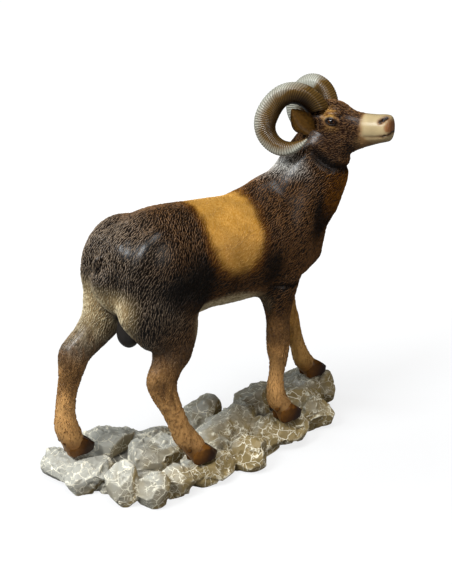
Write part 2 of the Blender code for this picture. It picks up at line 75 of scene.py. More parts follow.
# Where the middle of the footprint lies in the figure's own frame
FIGURE_MIDDLE = Vector((-3.891 * MM, -0.250 * MM, 0))

# Trunk: from the rump to the breast, at its widest, and from the back to the belly
BODY_LENGTH = 115.5 * MM
BODY_WIDTH = 45 * MM
BODY_DEPTH = 50 * MM
BACK_HEIGHT = 128 * MM
RUMP_X = -65 * MM

# Neck and head: the head's own frame runs forward to the nose, to its left, and up
NECK_DEPTH = 33 * MM
NECK_WIDTH = 26 * MM
HEAD_AT = Vector((50 * MM, -9 * MM, 152 * MM))
HEAD_TURN = math.radians(-60)
HEAD_LENGTH = 41 * MM
HEAD_WIDTH = 20 * MM
HEAD_DEPTH = 24 * MM
NOSTRIL_LENGTH = 3.6 * MM
MOUTH_WIDTH = 0.9 * MM
EAR_LENGTH = 15.6 * MM
EAR_WIDTH = 10.2 * MM
EAR_THICKNESS = 2.2 * MM

# Horns: a coil round the ear
HORN_RADIUS = 11.2 * MM
HORN_THICKNESS = 10.4 * MM
HORN_WIDTH = 10.4 * MM
HORN_SWEEP = math.radians(302)
HORN_ROOT_SPACING = 12.5 * MM
HORN_SPREAD = 14 * MM

# Legs: the middle of each sole, how far out the legs leave the trunk, and their thickness
RIGHT_HIND_FOOT = Vector((-28 * MM, -19 * MM, 12 * MM))
LEFT_HIND_FOOT = Vector((-71 * MM, 18 * MM, 13 * MM))
RIGHT_FORE_FOOT = Vector((26 * MM, -13 * MM, 15 * MM))
LEFT_FORE_FOOT = Vector((62 * MM, 12 * MM, 20 * MM))
FEET = {"right_hind": RIGHT_HIND_FOOT, "left_hind": LEFT_HIND_FOOT,
        "right_fore": RIGHT_FORE_FOOT, "left_fore": LEFT_FORE_FOOT}
HIP_X = -41 * MM
HIP_HALF_SPACING = 13 * MM
SHOULDER_X = 22 * MM
SHOULDER_HALF_SPACING = 12 * MM
HIND_STRIDE = 9 * MM
FORE_STRIDE = 15 * MM
HIND_LEG_WIDTH = 9 * MM
FORE_LEG_WIDTH = 8 * MM
LEG_TOP_SHARE = 0.75
LEG_FREE_ROW = 3
HOOF_LENGTH = 14.4 * MM
HOOF_WIDTH = 9.4 * MM
HOOF_HEIGHT = 6.8 * MM

# Tail and scrotum
TAIL_LENGTH = 14 * MM
TAIL_WIDTH = 5 * MM
SCROTUM_LENGTH = 18 * MM
SCROTUM_WIDTH = 11.5 * MM

# Boulders: middle, half sizes and turn of each, in millimetres and degrees
BOULDERS = (
    (-78, 27, 6, 8, 8.5, 7.5, 10),
    (-71, 9, 6.5, 14.5, 12, 9, 20),
    (-51, 27, 8, 18, 12, 10.5, -12),
    (-74, 21, 5.5, 13, 12, 9, 0),
    (-64, -12, 9, 10, 10, 11.5, 60),
    (-55, -21, 7.5, 9, 10, 9.5, 30),
    (-41, -21, 6.5, 10, 9, 8.5, 0),
    (-38, 6, 7, 19, 14, 11, 12),
    (-21, -16, 6, 16, 13, 8.5, 8),
    (1, -18, 7.5, 11, 11.5, 9.5, -20),
    (8, 7, 7.5, 20, 15, 12, 10),
    (5, 26, 8, 12, 10, 10.5, 0),
    (33, 23, 8, 16, 11, 11, 5),
    (26, -8, 7.5, 15, 12, 10.5, -8),
    (34, -10, 6, 10, 9, 8.5, 15),
    (52, -3, 7.5, 12, 11, 9.5, 25),
    (70, 13, 9.5, 8.5, 9.5, 11.5, 0),
    (61, 19, 9, 14, 13, 13, 15),
    (51, 7, 7.5, 14, 11, 11, -10),
    (-30, 21, 5, 17, 10, 8.5, 0),
    (-13, 3, 4, 17, 15, 8, 0),
)
PLINTH_HEIGHT = 5 * MM
PLINTH_OUTLINE = ((-77, 22), (-71, 2), (-62, -14), (-42, -18), (-20, -20), (2, -19), (28, -12), (52, -6),
                  (67, 10), (60, 23), (34, 26), (6, 29), (-20, 24), (-50, 32), (-72, 29))

# Meshing of the visible forms
FLESH_VOXEL = 1.5 * MM
FLESH_ROUNDS = 14
COAT_VOXEL = 0.70 * MM
COAT_ROUNDS = 4
HOOF_VOXEL = 0.42 * MM
ROCK_VOXEL = 0.58 * MM
BOULDER_CUTS = 20
SHALLOWEST_CUT = 0.88
DEEPEST_CUT = 0.69
GROUND_DEPTH = 12 * MM
SEED = 7
RESIN_IOR = 1.5

# Stage: where the camera stands, in degrees, what it and the lights face, and its lens, whose focal
# length was found in the photograph's pixels
CAMERA_AZIMUTH = -35
CAMERA_ELEVATION = 20
CAMERA_TARGET = Vector((0, 0, 82 * MM)) - FIGURE_MIDDLE
LIGHT_TARGET = Vector((0, 0, 85 * MM))
PHOTO_FOCAL_LENGTH = 1100
PHOTO_HEIGHT = 584
SENSOR_HEIGHT = 36


def linear(code):
    """The linear colour of an sRGB hex code."""
    found = []
    for start in (1, 3, 5):
        share = int(code[start:start + 2], 16) / 255
        found.append(share / 12.92 if share <= 0.04045 else ((share + 0.055) / 1.055) ** 2.4)
    return tuple(found)


def paint(name, code, description):
    """A colour that a user can change, with its default."""
    return FloatVectorProperty(name=name, description=description, default=linear(code),
                               subtype="COLOR", size=3, min=0, max=1)


def length(name, millimetres, description):
    """A length that a user can change, with its default given in millimetres."""
    return FloatProperty(name=name, description=description, default=millimetres * MM,
                         min=0.01 * MM, unit="LENGTH", precision=5)


class MouflonSizes(bpy.types.PropertyGroup):
    """Sizes of the modelled fur, horn rings and rock facets."""
    stroke_length: length("Fur stroke length", 2.7, "Length of one modelled tuft on the trunk")
    stroke_width: length("Fur stroke width", 0.62, "Width of one modelled tuft")
    stroke_height: length("Fur stroke height", 0.44, "How far a tuft stands proud of the body")
    stroke_spacing: length("Fur stroke spacing", 0.86, "Least distance between the roots of tufts")
    ring_pitch: length("Horn ring pitch", 0.95, "Distance between the fine rings of the horn")
    ring_depth: length("Horn ring depth", 0.17, "Depth of the grooves between the rings")
    facet_spacing: length("Rock facet spacing", 6.0, "Distance between the flats dressed on a rock")
    facet_depth: length("Rock facet depth", 0.42, "How deep the flats are dressed into a rock")
    camera_distance: length("Camera distance", 506, "From the middle of the figure to the camera")
    seed: IntProperty(name="Seed", description="Fixes the scatter of tufts and facets", default=11)


class MouflonPaints(bpy.types.PropertyGroup):
    """Colours of the hand painting: high is on raised strokes, low is in the hollows."""
    rump_high: paint("Rump, raised", "#7f6d5a", "Dry-brushed grey brown on the tufts of the rump")
    rump_low: paint("Rump, hollows", "#0a0502", "Dark wash between the tufts of the rump")
    brown_high: paint("Shoulder, raised", "#75512f", "Warm brown on the tufts of shoulder and back")
    brown_low: paint("Shoulder, hollows", "#100702", "Dark wash on shoulder and back")
    black_high: paint("Dark flank, raised", "#180e07", "Tufts of the dark flank and thigh")
    black_low: paint("Dark flank, hollows", "#020100", "Near black of the dark flank")
    saddle_high: paint("Saddle, raised", "#c09450", "Golden saddle patch")
    saddle_low: paint("Saddle, hollows", "#94661d", "Ochre wash in the saddle patch")
    pale_high: paint("Pale belly, raised", "#d8c7a2", "Beige of the belly and buttocks")
    pale_low: paint("Pale belly, hollows", "#8a7450", "Wash on the belly and buttocks")
    leg_high: paint("Legs, raised", "#c3935a", "Tan of the lower legs")
    leg_low: paint("Legs, hollows", "#65421a", "Ochre brown wash on the legs")
    dark_leg_high: paint("Leg fronts, raised", "#7a5733", "Tufts of the dark leg fronts")
    dark_leg_low: paint("Leg fronts, hollows", "#241204", "Dark stripe down the leg fronts")
    throat_high: paint("Throat, raised", "#8f5a16", "Ochre of the throat")
    throat_low: paint("Throat, hollows", "#351a04", "Wash of the throat")
    # The nape's raised colour is grey dry brush lifted to near white as a painted sheen
    nape_dry_brush_and_sheen: paint("Nape, raised", "#f0ece2", "Grey dry brush on the nape")
    nape_low: paint("Nape, hollows", "#2a231b", "Dark wash on the nape")
    head_high: paint("Head, raised", "#7b5836", "Brown of cheek and forehead")
    head_low: paint("Head, hollows", "#190b04", "Dark wash of the head")
    muzzle: paint("Muzzle", "#a8946e", "Cream muzzle")
    muzzle_wash: paint("Muzzle wash", "#8c6d45", "Wash between the hairs of the muzzle")
    nose: paint("Nose", "#75401c", "Orange brown nose tip and mouth line")
    eye_ring: paint("Eye patch", "#c99a52", "Tan patches above and below the eye")
    pouch: paint("Scrotum", "#2a2623", "Slate grey skin")
    horn_pale: paint("Horn, worn edge", "#a6a496", "Grey beige on the outer edge of the horn")
    horn_brown: paint("Horn, sides", "#604720", "Amber brown of the horn's sides")
    horn_dark: paint("Horn, grooves", "#160b03", "Dark wash in the rings and inner side")
    ear_high: paint("Ear", "#5d3f14", "Ochre in the hollow of the ear")
    ear_low: paint("Ear, rim", "#1c0f04", "Dark brown of the ear's rim and back")
    fringe_high: paint("Saddle border, raised", "#7c4f17", "Brown ochre border of the saddle")
    fringe_low: paint("Saddle border, hollows", "#3c2107", "Wash on the border of the saddle")
    hoof_high: paint("Hoof", "#7c4f1e", "Brown of the claws")
    hoof_low: paint("Hoof, hollows", "#2a1507", "Dark wash of the claws")
    rock_grey: paint("Rock", "#a29f94", "Grey of the rocks")
    rock_ochre: paint("Rock, ochre wash", "#86744e", "Ochre and umber wash on the rocks")
    rock_pale: paint("Rock, dry brush", "#ece4cd", "Cream dry brush on edges and cracks")
    # Dark wash with painted shade, laid into the rocks' crevices and broad hollows
    rock_crevice_wash_and_shade: paint("Rock, crevices", "#241a0e", "Dark wash in the crevices")
    iris: paint("Iris", "#4a2a10", "Brown of the eye")
    floor: paint("Floor", "#6a6a6a", "Plain pale floor")


def sizes():
    """The sizes in use."""
    return bpy.context.scene.mouflon_sizes


def paints():
    """The colours in use."""
    return bpy.context.scene.mouflon_paints


def smooth_rows(rows, steps):
    """Rows of numbers on a smooth curve through the given ones, with steps rows for each gap."""
    rows = np.array(rows, float)
    padded = np.vstack([2 * rows[0] - rows[1], rows, 2 * rows[-1] - rows[-2]])
    found = []
    for index in range(1, len(padded) - 2):
        before, start, end, after = padded[index - 1:index + 3]
        for part in range(steps):
            t = part / steps
            bend = 2 * before - 5 * start + 4 * end - after
            twist = 3 * start - before - 3 * end + after
            found.append(0.5 * (2 * start + (end - before) * t + bend * t ** 2 + twist * t ** 3))
    found.append(rows[-1])
    return found


def new_object(name, mesh):
    """An object in the scene that holds the bmesh, with its faces turned outwards."""
    bmesh.ops.recalc_face_normals(mesh, faces=mesh.faces)
    data = bpy.data.meshes.new(name)
    mesh.to_mesh(data)
    mesh.free()
    made = bpy.data.objects.new(name, data)
    bpy.context.scene.collection.objects.link(made)
    return made


def skin(name, rings):
    """A closed solid through rings of points, with a point in the middle of each end."""
    mesh = bmesh.new()
    made = [[mesh.verts.new(point) for point in ring] for ring in rings]
    for lower, upper in zip(made, made[1:]):
        for index in range(len(lower)):
            after = (index + 1) % len(lower)
            mesh.faces.new((lower[index], lower[after], upper[after], upper[index]))
    for ring in (made[0], made[-1]):
        middle = sum((vertex.co for vertex in ring), Vector()) / len(ring)
        pole = mesh.verts.new(middle)
        for index in range(len(ring)):
            mesh.faces.new((ring[index], ring[(index + 1) % len(ring)], pole))
    return new_object(name, mesh)


def loft(name, rows, steps=4, points=20):
    """A solid through oval sections. A row is x, y, z, half width, rise, drop and turn.

    The rise is measured towards the back of the path and the drop away from it.
    """
    rows = smooth_rows(rows, steps)
    middles = [Vector(row[:3]) for row in rows]
    last = len(rows) - 1
    rings = []
    for index, row in enumerate(rows):
        along = (middles[min(index + 1, last)] - middles[max(index - 1, 0)]).normalized()
        side = Vector((-math.sin(row[6]), math.cos(row[6]), 0))
        rise = along.cross(side).normalized()
        side = rise.cross(along)
        ring = []
        for part in range(points):
            angle = 2 * math.pi * part / points
            height = row[4] if math.sin(angle) > 0 else row[5]
            across = side * math.cos(angle) * row[3]
            ring.append(middles[index] + across + rise * math.sin(angle) * height)
        rings.append(ring)
    return skin(name, rings)


def pad(name, middle, halves, turn=0.0, pitch=0.0, detail=3):
    """A rounded muscle or lump with the given half sizes, pitched nose down and then turned."""
    mesh = bmesh.new()
    bmesh.ops.create_icosphere(mesh, subdivisions=detail, radius=1)
    place = Matrix.Translation(middle) @ Matrix.Rotation(turn, 4, "Z")
    place = place @ Matrix.Rotation(pitch, 4, "Y") @ Matrix.Diagonal((*halves, 1))
    bmesh.ops.transform(mesh, matrix=place, verts=mesh.verts)
    return new_object(name, mesh)


def chiselled(name, middle, halves, turn, cuts, detail=2):
    """A lump dressed flat wherever a cut, a direction and its depth, meets the unit ball."""
    mesh = bmesh.new()
    bmesh.ops.create_icosphere(mesh, subdivisions=detail, radius=1)
    for vertex in mesh.verts:
        reach = 1.0
        for direction, depth in cuts:
            facing = vertex.co.dot(direction)
            if facing > depth * 0.999:
                reach = min(reach, depth / facing)
        vertex.co *= reach
    place = Matrix.Translation(middle) @ Matrix.Rotation(turn, 4, "Z") @ Matrix.Diagonal((*halves, 1))
    bmesh.ops.transform(mesh, matrix=place, verts=mesh.verts)
    return new_object(name, mesh)


def apply_modifiers(made):
    """Turns an object's modifiers into its mesh."""
    graph = bpy.context.evaluated_depsgraph_get()
    mesh = bpy.data.meshes.new_from_object(made.evaluated_get(graph))
    made.modifiers.clear()
    made.data = mesh


def join_meshes(name, pieces):
    """One object that holds the meshes of all the pieces, which are removed."""
    mesh = bmesh.new()
    for piece in pieces:
        mesh.from_mesh(piece.data)
        bpy.data.objects.remove(piece)
    data = bpy.data.meshes.new(name)
    mesh.to_mesh(data)
    mesh.free()
    made = bpy.data.objects.new(name, data)
    bpy.context.scene.collection.objects.link(made)
    return made


def fuse(name, pieces, voxel, rounds):
    """One soft solid from overlapping pieces, smoothed for a number of rounds."""
    made = join_meshes(name, pieces)
    remesh = made.modifiers.new("Fuse", "REMESH")
    remesh.mode = "VOXEL"
    remesh.voxel_size = voxel
    soften = made.modifiers.new("Soften", "SMOOTH")
    soften.factor = 0.5
    soften.iterations = rounds
    apply_modifiers(made)
    return made


def cut(made, others):
    """Cuts the other solids from an object, and removes them."""
    for other in others:
        change = made.modifiers.new("Cut", "BOOLEAN")
        change.operation = "DIFFERENCE"
        change.object = other
        apply_modifiers(made)
        bpy.data.objects.remove(other)


def points_of(made):
    """The points and normals of an object's mesh as arrays, the points in millimetres."""
    points = np.zeros(3 * len(made.data.vertices), np.float32)
    normals = np.zeros(3 * len(made.data.vertices), np.float32)
    made.data.vertices.foreach_get("co", points)
    made.data.vertex_normals.foreach_get("vector", normals)
    return points.reshape(-1, 3).astype(float) / MM, normals.reshape(-1, 3).astype(float)


def move_points(made, points):
    """Sets the points of an object's mesh from an array in millimetres."""
    made.data.vertices.foreach_set("co", (points * MM).astype(np.float32).ravel())
    made.data.update()


def edges_of(made):
    """The pairs of points that the edges join."""
    edges = np.zeros(2 * len(made.data.edges), np.int32)
    made.data.edges.foreach_get("vertices", edges)
    return edges.reshape(-1, 2)


def eased(values, edges, rounds):
    """Values on points, smoothed along the edges for a number of rounds."""
    number = len(values)
    count = np.maximum(np.bincount(edges.ravel(), minlength=number), 1)
    for _ in range(rounds):
        columns = []
        for column in values.T:
            total = np.bincount(edges[:, 0], column[edges[:, 1]], number)
            total += np.bincount(edges[:, 1], column[edges[:, 0]], number)
            columns.append(total / count)
        values = np.stack(columns, 1)
    return values


def keep(made, name, kind, values):
    """Stores one value for each point of an object's mesh."""
    attribute = made.data.attributes.new(name, kind, "POINT")
    if kind == "FLOAT_COLOR":
        values = np.hstack([values, np.ones((len(values), 1))])
        attribute.data.foreach_set("color", values.astype(np.float32).ravel())
    elif kind == "FLOAT_VECTOR":
        attribute.data.foreach_set("vector", values.astype(np.float32).ravel())
    else:
        attribute.data.foreach_set("value", np.asarray(values).ravel())


def keep_pair(made, high, low):
    """Stores one raised and one hollow colour for all points of an object's mesh."""
    for name, colour in (("high", high), ("low", low)):
        keep(made, name, "FLOAT_COLOR", np.tile(np.array(colour), (len(made.data.vertices), 1)))


def step(value, low, high):
    """0 below low, 1 above high, and a smooth rise between."""
    share = np.clip((value - low) / (high - low), 0, 1)
    return share * share * (3 - 2 * share)


def ripple(points, wave, seed):
    """A soft irregular value from -1 to 1 with about the given wavelength in millimetres."""
    draw = random.Random(seed)
    total = np.zeros(len(points))
    for _ in range(7):
        direction = np.array([draw.gauss(0, 1) for _ in range(3)])
        direction *= draw.uniform(0.7, 1.5) * 2 * math.pi / (wave * np.linalg.norm(direction))
        total += np.sin(points @ direction + draw.uniform(0, 2 * math.pi))
    return np.clip(total / 3.0, -1, 1)


def node(tree, kind, inputs=None, **settings):
    """A node in the tree, with its settings and its inputs' values or the sockets that feed them."""
    made = tree.nodes.new(kind)
    for key, value in settings.items():
        setattr(made, key, value)
    for key, value in (inputs or {}).items():
        if isinstance(value, bpy.types.NodeSocket):
            tree.links.new(value, made.inputs[key])
        else:
            made.inputs[key].default_value = value
    return made


def new_material(name, roughness, coat):
    """A dielectric painted material and its shader, with its roughness and clear lacquer."""
    material = bpy.data.materials.new(name)
    material.use_nodes = True
    shader = material.node_tree.nodes["Principled BSDF"]
    shader.inputs["Metallic"].default_value = 0.0
    shader.inputs["Roughness"].default_value = roughness
    shader.inputs["IOR"].default_value = RESIN_IOR
    shader.inputs["Coat Weight"].default_value = coat
    shader.inputs["Coat Roughness"].default_value = 0.24
    shader.inputs["Specular IOR Level"].default_value = 0.10
    return material, shader


def finish_piece(made, name, material):
    """Names a finished form, moves it over the frame, gives it its material, hangs it from the root and hides
    the solid that it replaces.
    """
    made.data.transform(Matrix.Translation(-FIGURE_MIDDLE))
    # Fine detail stays inside the solid's own box
    for vertex in made.data.vertices:
        for axis in range(3):
            vertex.co[axis] = min(max(vertex.co[axis], CAD_BOX[0][axis]), CAD_BOX[1][axis])
    made.name = name
    made.data.name = name
    made.data.materials.clear()
    made.data.materials.append(material)
    made.data.shade_smooth()
    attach(made, "root")
    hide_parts(CAD_NODE)
    return made


def belly_point(share, height):
    """A point in the middle plane of the trunk, at a share of its length and of its depth."""
    return Vector((RUMP_X + share * BODY_LENGTH, 0, BACK_HEIGHT - BODY_DEPTH * (1 - height)))


def trunk():
    """The barrel. A row is a share of the length, the crest's height in millimetres against the
    back, and shares of the depth and of the width."""
    shape = (
        (0.000, -20.0, 0.12, 0.14),
        (0.022, -13.0, 0.46, 0.42),
        (0.075, -6.5, 0.76, 0.66),
        (0.155, -2.2, 0.94, 0.86),
        (0.260, 0.2, 1.00, 1.00),
        (0.380, 0.0, 0.98, 0.93),
        (0.500, -0.4, 0.985, 0.97),
        (0.610, -0.9, 0.97, 1.00),
        (0.690, 1.2, 1.00, 0.97),
        (0.780, 3.8, 1.05, 0.90),
        (0.860, 2.0, 1.00, 0.80),
        (0.930, -6.0, 0.80, 0.68),
        (0.980, -15.0, 0.54, 0.46),
        (1.000, -24.0, 0.16, 0.16),
    )
    rows = []
    for along, crest, depth, width in shape:
        top = BACK_HEIGHT + crest * MM
        tall = depth * BODY_DEPTH
        rows.append((RUMP_X + along * BODY_LENGTH, 0, top - 0.52 * tall,
                     width * BODY_WIDTH / 2, 0.52 * tall, 0.48 * tall, 0))
    return loft("Trunk", rows, points=28)


def neck():
    """The neck leaves the withers, rises and turns with the head. A row is a share of the way
    up, the bow forward in millimetres, and shares of the width, the depth and the turn."""
    root = belly_point(0.76, 0.55)
    shape = (
        (0.00, 0.0, 1.30, 1.46, 0.00),
        (0.22, 2.6, 1.18, 1.28, 0.06),
        (0.42, 3.6, 1.08, 1.14, 0.22),
        (0.60, 3.2, 0.98, 1.03, 0.48),
        (0.78, 1.6, 0.90, 0.90, 0.76),
        (0.94, 0.4, 0.82, 0.74, 1.00),
        (1.04, 0.0, 0.60, 0.46, 1.00),
    )
    rows = []
    for way, bow, width, depth, turn in shape:
        middle = root.lerp(HEAD_AT, way) + Vector((bow * MM, 0, 0))
        half = depth * NECK_DEPTH / 2
        rows.append((*middle, width * NECK_WIDTH / 2, half * 0.89, half * 1.12, turn * HEAD_TURN))
    return loft("Neck", rows)


def on_head(forward, left, up):
    """A point given in millimetres in the head's own frame, in the figure's frame."""
    turned = Matrix.Rotation(HEAD_TURN, 3, "Z") @ Vector((forward * MM, left * MM, up * MM))
    return HEAD_AT + turned


def head():
    """Skull, cheeks and muzzle. A row is a share of the head's length from the back of the
    skull, the height of its middle in millimetres, and shares of the width and of the depth
    above and below."""
    shape = (
        (0.00, 6.0, 0.46, 0.20, 0.20),
        (0.09, 6.0, 0.84, 0.35, 0.38),
        (0.24, 5.0, 1.00, 0.42, 0.52),
        (0.36, 4.2, 1.00, 0.42, 0.60),
        (0.49, 3.4, 0.86, 0.34, 0.56),
        (0.60, 3.2, 0.72, 0.295, 0.43),
        (0.72, 3.2, 0.63, 0.285, 0.34),
        (0.84, 3.5, 0.58, 0.275, 0.275),
        (0.92, 3.8, 0.56, 0.275, 0.250),
        (0.975, 3.8, 0.50, 0.250, 0.225),
        (1.00, 3.8, 0.30, 0.16, 0.15),
    )
    rows = []
    for along, middle, width, rise, drop in shape:
        point = on_head(along * HEAD_LENGTH / MM - 10, 0, middle)
        rows.append((*point, width * HEAD_WIDTH / 2, rise * HEAD_DEPTH, drop * HEAD_DEPTH, HEAD_TURN))
    return loft("Head", rows)


def leg(name, hip, foot, shape, width, first):
    """A leg from the trunk down to the hoof, from its first row on, where it starts narrow. A row
    is a share of the way down, how far its middle lies ahead of the straight line in
    millimetres, and shares of the width for its half width, front and back."""
    rows = []
    for index, (way, ahead, half, front, back) in enumerate(shape[first:]):
        middle = hip.lerp(foot, way) + Vector((ahead * MM, 0, 0))
        full = width * (1 if index else LEG_TOP_SHARE)
        rows.append((*middle, half * full, front * full, back * full, 0))
    return loft(name, rows, points=16)


def legs(first=0):
    """The four legs. Hind legs bend back at the hock, and forelegs run straight to the knee."""
    hip_height = BACK_HEIGHT - 0.56 * BODY_DEPTH
    elbow_height = BACK_HEIGHT - 0.62 * BODY_DEPTH
    right_hip = Vector((HIP_X, -HIP_HALF_SPACING, hip_height))
    left_hip = Vector((HIP_X - HIND_STRIDE, HIP_HALF_SPACING, hip_height))
    right_elbow = Vector((SHOULDER_X, -SHOULDER_HALF_SPACING, elbow_height))
    left_elbow = Vector((SHOULDER_X + FORE_STRIDE, SHOULDER_HALF_SPACING, elbow_height))
    right_hind = (
        (0.00, -5.0, 1.20, 2.60, 2.05),
        (0.12, -6.0, 1.16, 2.95, 2.10),
        (0.23, -5.3, 1.04, 2.40, 1.55),
        (0.30, -3.2, 0.95, 1.62, 1.22),
        (0.37, -4.0, 0.84, 1.16, 0.94),
        (0.44, -7.4, 0.69, 0.84, 0.72),
        (0.51, -10.5, 0.62, 0.74, 0.84),
        (0.58, -10.9, 0.56, 0.66, 0.66),
        (0.65, -9.4, 0.49, 0.55, 0.55),
        (0.74, -7.5, 0.46, 0.51, 0.51),
        (0.83, -5.4, 0.50, 0.56, 0.57),
        (0.91, -1.6, 0.52, 0.58, 0.56),
        (1.00, 1.0, 0.40, 0.50, 0.40),
    )
    left_hind = (
        (0.00, 0.0, 1.20, 1.95, 1.90),
        (0.16, 0.5, 1.08, 1.45, 1.45),
        (0.28, -2.2, 0.88, 1.04, 1.04),
        (0.36, -7.5, 0.76, 0.84, 0.84),
        (0.42, -11.6, 0.68, 0.76, 0.84),
        (0.49, -12.0, 0.60, 0.66, 0.72),
        (0.56, -12.1, 0.50, 0.56, 0.56),
        (0.64, -12.0, 0.45, 0.49, 0.49),
        (0.73, -10.9, 0.46, 0.51, 0.51),
        (0.82, -8.9, 0.53, 0.60, 0.60),
        (0.90, -4.9, 0.55, 0.62, 0.58),
        (1.00, -0.5, 0.42, 0.50, 0.42),
    )
    right_fore = (
        (-0.10, 2.0, 1.05, 1.50, 1.50),
        (0.10, -1.0, 1.00, 1.28, 1.25),
        (0.21, -2.3, 0.92, 1.06, 1.04),
        (0.30, -2.3, 0.72, 0.82, 0.82),
        (0.41, -2.7, 0.62, 0.72, 0.70),
        (0.53, -3.1, 0.60, 0.70, 0.67),
        (0.60, -3.2, 0.50, 0.57, 0.57),
        (0.68, -4.3, 0.41, 0.46, 0.46),
        (0.77, -5.4, 0.46, 0.54, 0.54),
        (0.85, -4.6, 0.54, 0.62, 0.60),
        (0.92, -1.2, 0.52, 0.58, 0.54),
        (1.00, 0.5, 0.44, 0.50, 0.44),
    )
    left_fore = (
        (-0.10, 0.0, 1.00, 1.40, 1.40),
        (0.10, -1.5, 0.98, 1.25, 1.20),
        (0.25, -3.2, 0.82, 0.98, 0.98),
        (0.41, -3.9, 0.66, 0.76, 0.76),
        (0.53, -3.9, 0.58, 0.64, 0.64),
        (0.64, -3.7, 0.48, 0.53, 0.53),
        (0.74, -3.2, 0.42, 0.47, 0.47),
        (0.82, -3.0, 0.48, 0.54, 0.54),
        (0.88, -2.2, 0.55, 0.60, 0.58),
        (0.94, 0.0, 0.52, 0.58, 0.54),
        (1.00, 1.0, 0.44, 0.50, 0.44),
    )
    return [
        leg("Right hind leg", right_hip, RIGHT_HIND_FOOT, right_hind, HIND_LEG_WIDTH, first),
        leg("Left hind leg", left_hip, LEFT_HIND_FOOT, left_hind, HIND_LEG_WIDTH, first),
        leg("Right foreleg", right_elbow, RIGHT_FORE_FOOT, right_fore, FORE_LEG_WIDTH, first),
        leg("Left foreleg", left_elbow, LEFT_FORE_FOOT, left_fore, FORE_LEG_WIDTH, first),
    ]


def muscles():
    """Thighs, buttocks, shoulders, withers, breast and sheath."""
    mid = BACK_HEIGHT - 0.56 * BODY_DEPTH
    made = []
    for side in (-1, 1):
        hip_x = HIP_X if side < 0 else HIP_X - 0.6 * HIND_STRIDE
        shoulder_x = SHOULDER_X if side < 0 else SHOULDER_X + 0.5 * FORE_STRIDE
        made += [
            pad("Thigh", (hip_x - 2 * MM, side * HIP_HALF_SPACING, mid + 1.5 * MM),
                (18.3 * MM, 10.6 * MM, 23 * MM), pitch=0.16),
            pad("Buttock", (RUMP_X + 11 * MM, side * 6 * MM, mid + 2.5 * MM),
                (9.5 * MM, 8 * MM, 18 * MM), pitch=-0.12),
            pad("Shoulder", (shoulder_x + 5 * MM, side * 0.95 * SHOULDER_HALF_SPACING, mid + 4 * MM),
                (13 * MM, 9.5 * MM, 24 * MM), pitch=0.30),
        ]
    made.append(pad("Rump", (RUMP_X + 11 * MM, 0, mid + 6 * MM), (10.5 * MM, 9 * MM, 15 * MM)))
    made.append(pad("Withers", belly_point(0.79, 1.0), (18 * MM, 8 * MM, 7 * MM), pitch=-0.15))
    throat = HEAD_AT + Vector((-1 * MM, 1 * MM, -28 * MM))
    made.append(pad("Throat", throat, (10 * MM, 8 * MM, 16 * MM), pitch=0.15))
    made.append(pad("Neck front", belly_point(0.94, 0.70), (9.5 * MM, 9 * MM, 13 * MM), pitch=0.30))
    made.append(pad("Breast", belly_point(0.887, 0.42), (13.8 * MM, 13 * MM, 18 * MM), pitch=0.30))
    made.append(pad("Sheath", belly_point(0.40, 0.03), (11 * MM, 4.5 * MM, 4 * MM)))
    return made


def face():
    """Cheeks, brows and the swelling round each eye."""
    made = []
    for side in (-1, 1):
        made.append(pad("Cheek", on_head(6, side * 6, -1), (7 * MM, 3.6 * MM, 7.5 * MM), HEAD_TURN))
        made.append(pad("Brow", on_head(4.5, side * 7.4, 10.0), (4.6 * MM, 2.0 * MM, 1.5 * MM), HEAD_TURN))
        made.append(pad("Socket", on_head(5, side * 8.6, 6.9), (3.0 * MM, 1.3 * MM, 2.0 * MM), HEAD_TURN))
    return made


def face_cuts():
    """Cutters for the nostrils and for the line of the mouth, which runs round the muzzle."""
    made = []
    for side in (-1, 1):
        halves = (NOSTRIL_LENGTH / 2, 1.0 * MM, 1.0 * MM)
        made.append(pad("Nostril", on_head(27.6, side * 4.4, 8.2), halves,
                        HEAD_TURN + side * 0.5, pitch=-0.6, detail=2))
    route = ((20.5, 6.6, 0.6), (24, 6.2, 0.9), (27.5, 5.5, 1.3), (29.6, 4.0, 2.0), (30.8, 1.6, 2.5))
    points = [on_head(*point) for point in route]
    points += [on_head(forward, -left, up) for forward, left, up in reversed(route)]
    curve = bpy.data.curves.new("Mouth", "CURVE")
    curve.dimensions = "3D"
    curve.bevel_depth = MOUTH_WIDTH / 2
    curve.bevel_resolution = 1
    curve.use_fill_caps = True
    spline = curve.splines.new("POLY")
    spline.points.add(len(points) - 1)
    for target, point in zip(spline.points, points):
        target.co = (*point, 1)
    tube = bpy.data.objects.new("Mouth tube", curve)
    bpy.context.scene.collection.objects.link(tube)
    graph = bpy.context.evaluated_depsgraph_get()
    mesh = bmesh.new()
    mesh.from_mesh(bpy.data.meshes.new_from_object(tube.evaluated_get(graph)))
    bmesh.ops.remove_doubles(mesh, verts=mesh.verts, dist=0.01 * MM)
    bpy.data.objects.remove(tube)
    made.append(new_object("Mouth", mesh))
    return made


def hoof(foot):
    """Two pointed claws side by side, flat underneath and sloped at the toe, with two dewclaws."""
    cuts = ((Vector((0, 0, -1)), 0.55), (Vector((0.60, 0, 0.80)), 0.62), (Vector((0.35, 0, 0.93)), 0.74))
    made = []
    for side in (-1, 1):
        inner = (Vector((0, -side, 0)), 0.86)
        middle = foot + Vector((1.5 * MM, side * HOOF_WIDTH * 0.25, 0.55 * HOOF_HEIGHT))
        made.append(chiselled("Claw", middle, (HOOF_LENGTH / 2, HOOF_WIDTH * 0.27, HOOF_HEIGHT),
                              -side * 0.10, (*cuts, inner)))
        heel = foot + Vector((-HOOF_LENGTH * 0.45, side * HOOF_WIDTH * 0.24, HOOF_HEIGHT * 1.25))
        made.append(pad("Dewclaw", heel, (1.5 * MM, 1.3 * MM, 2.0 * MM), pitch=0.5, detail=2))
    return made


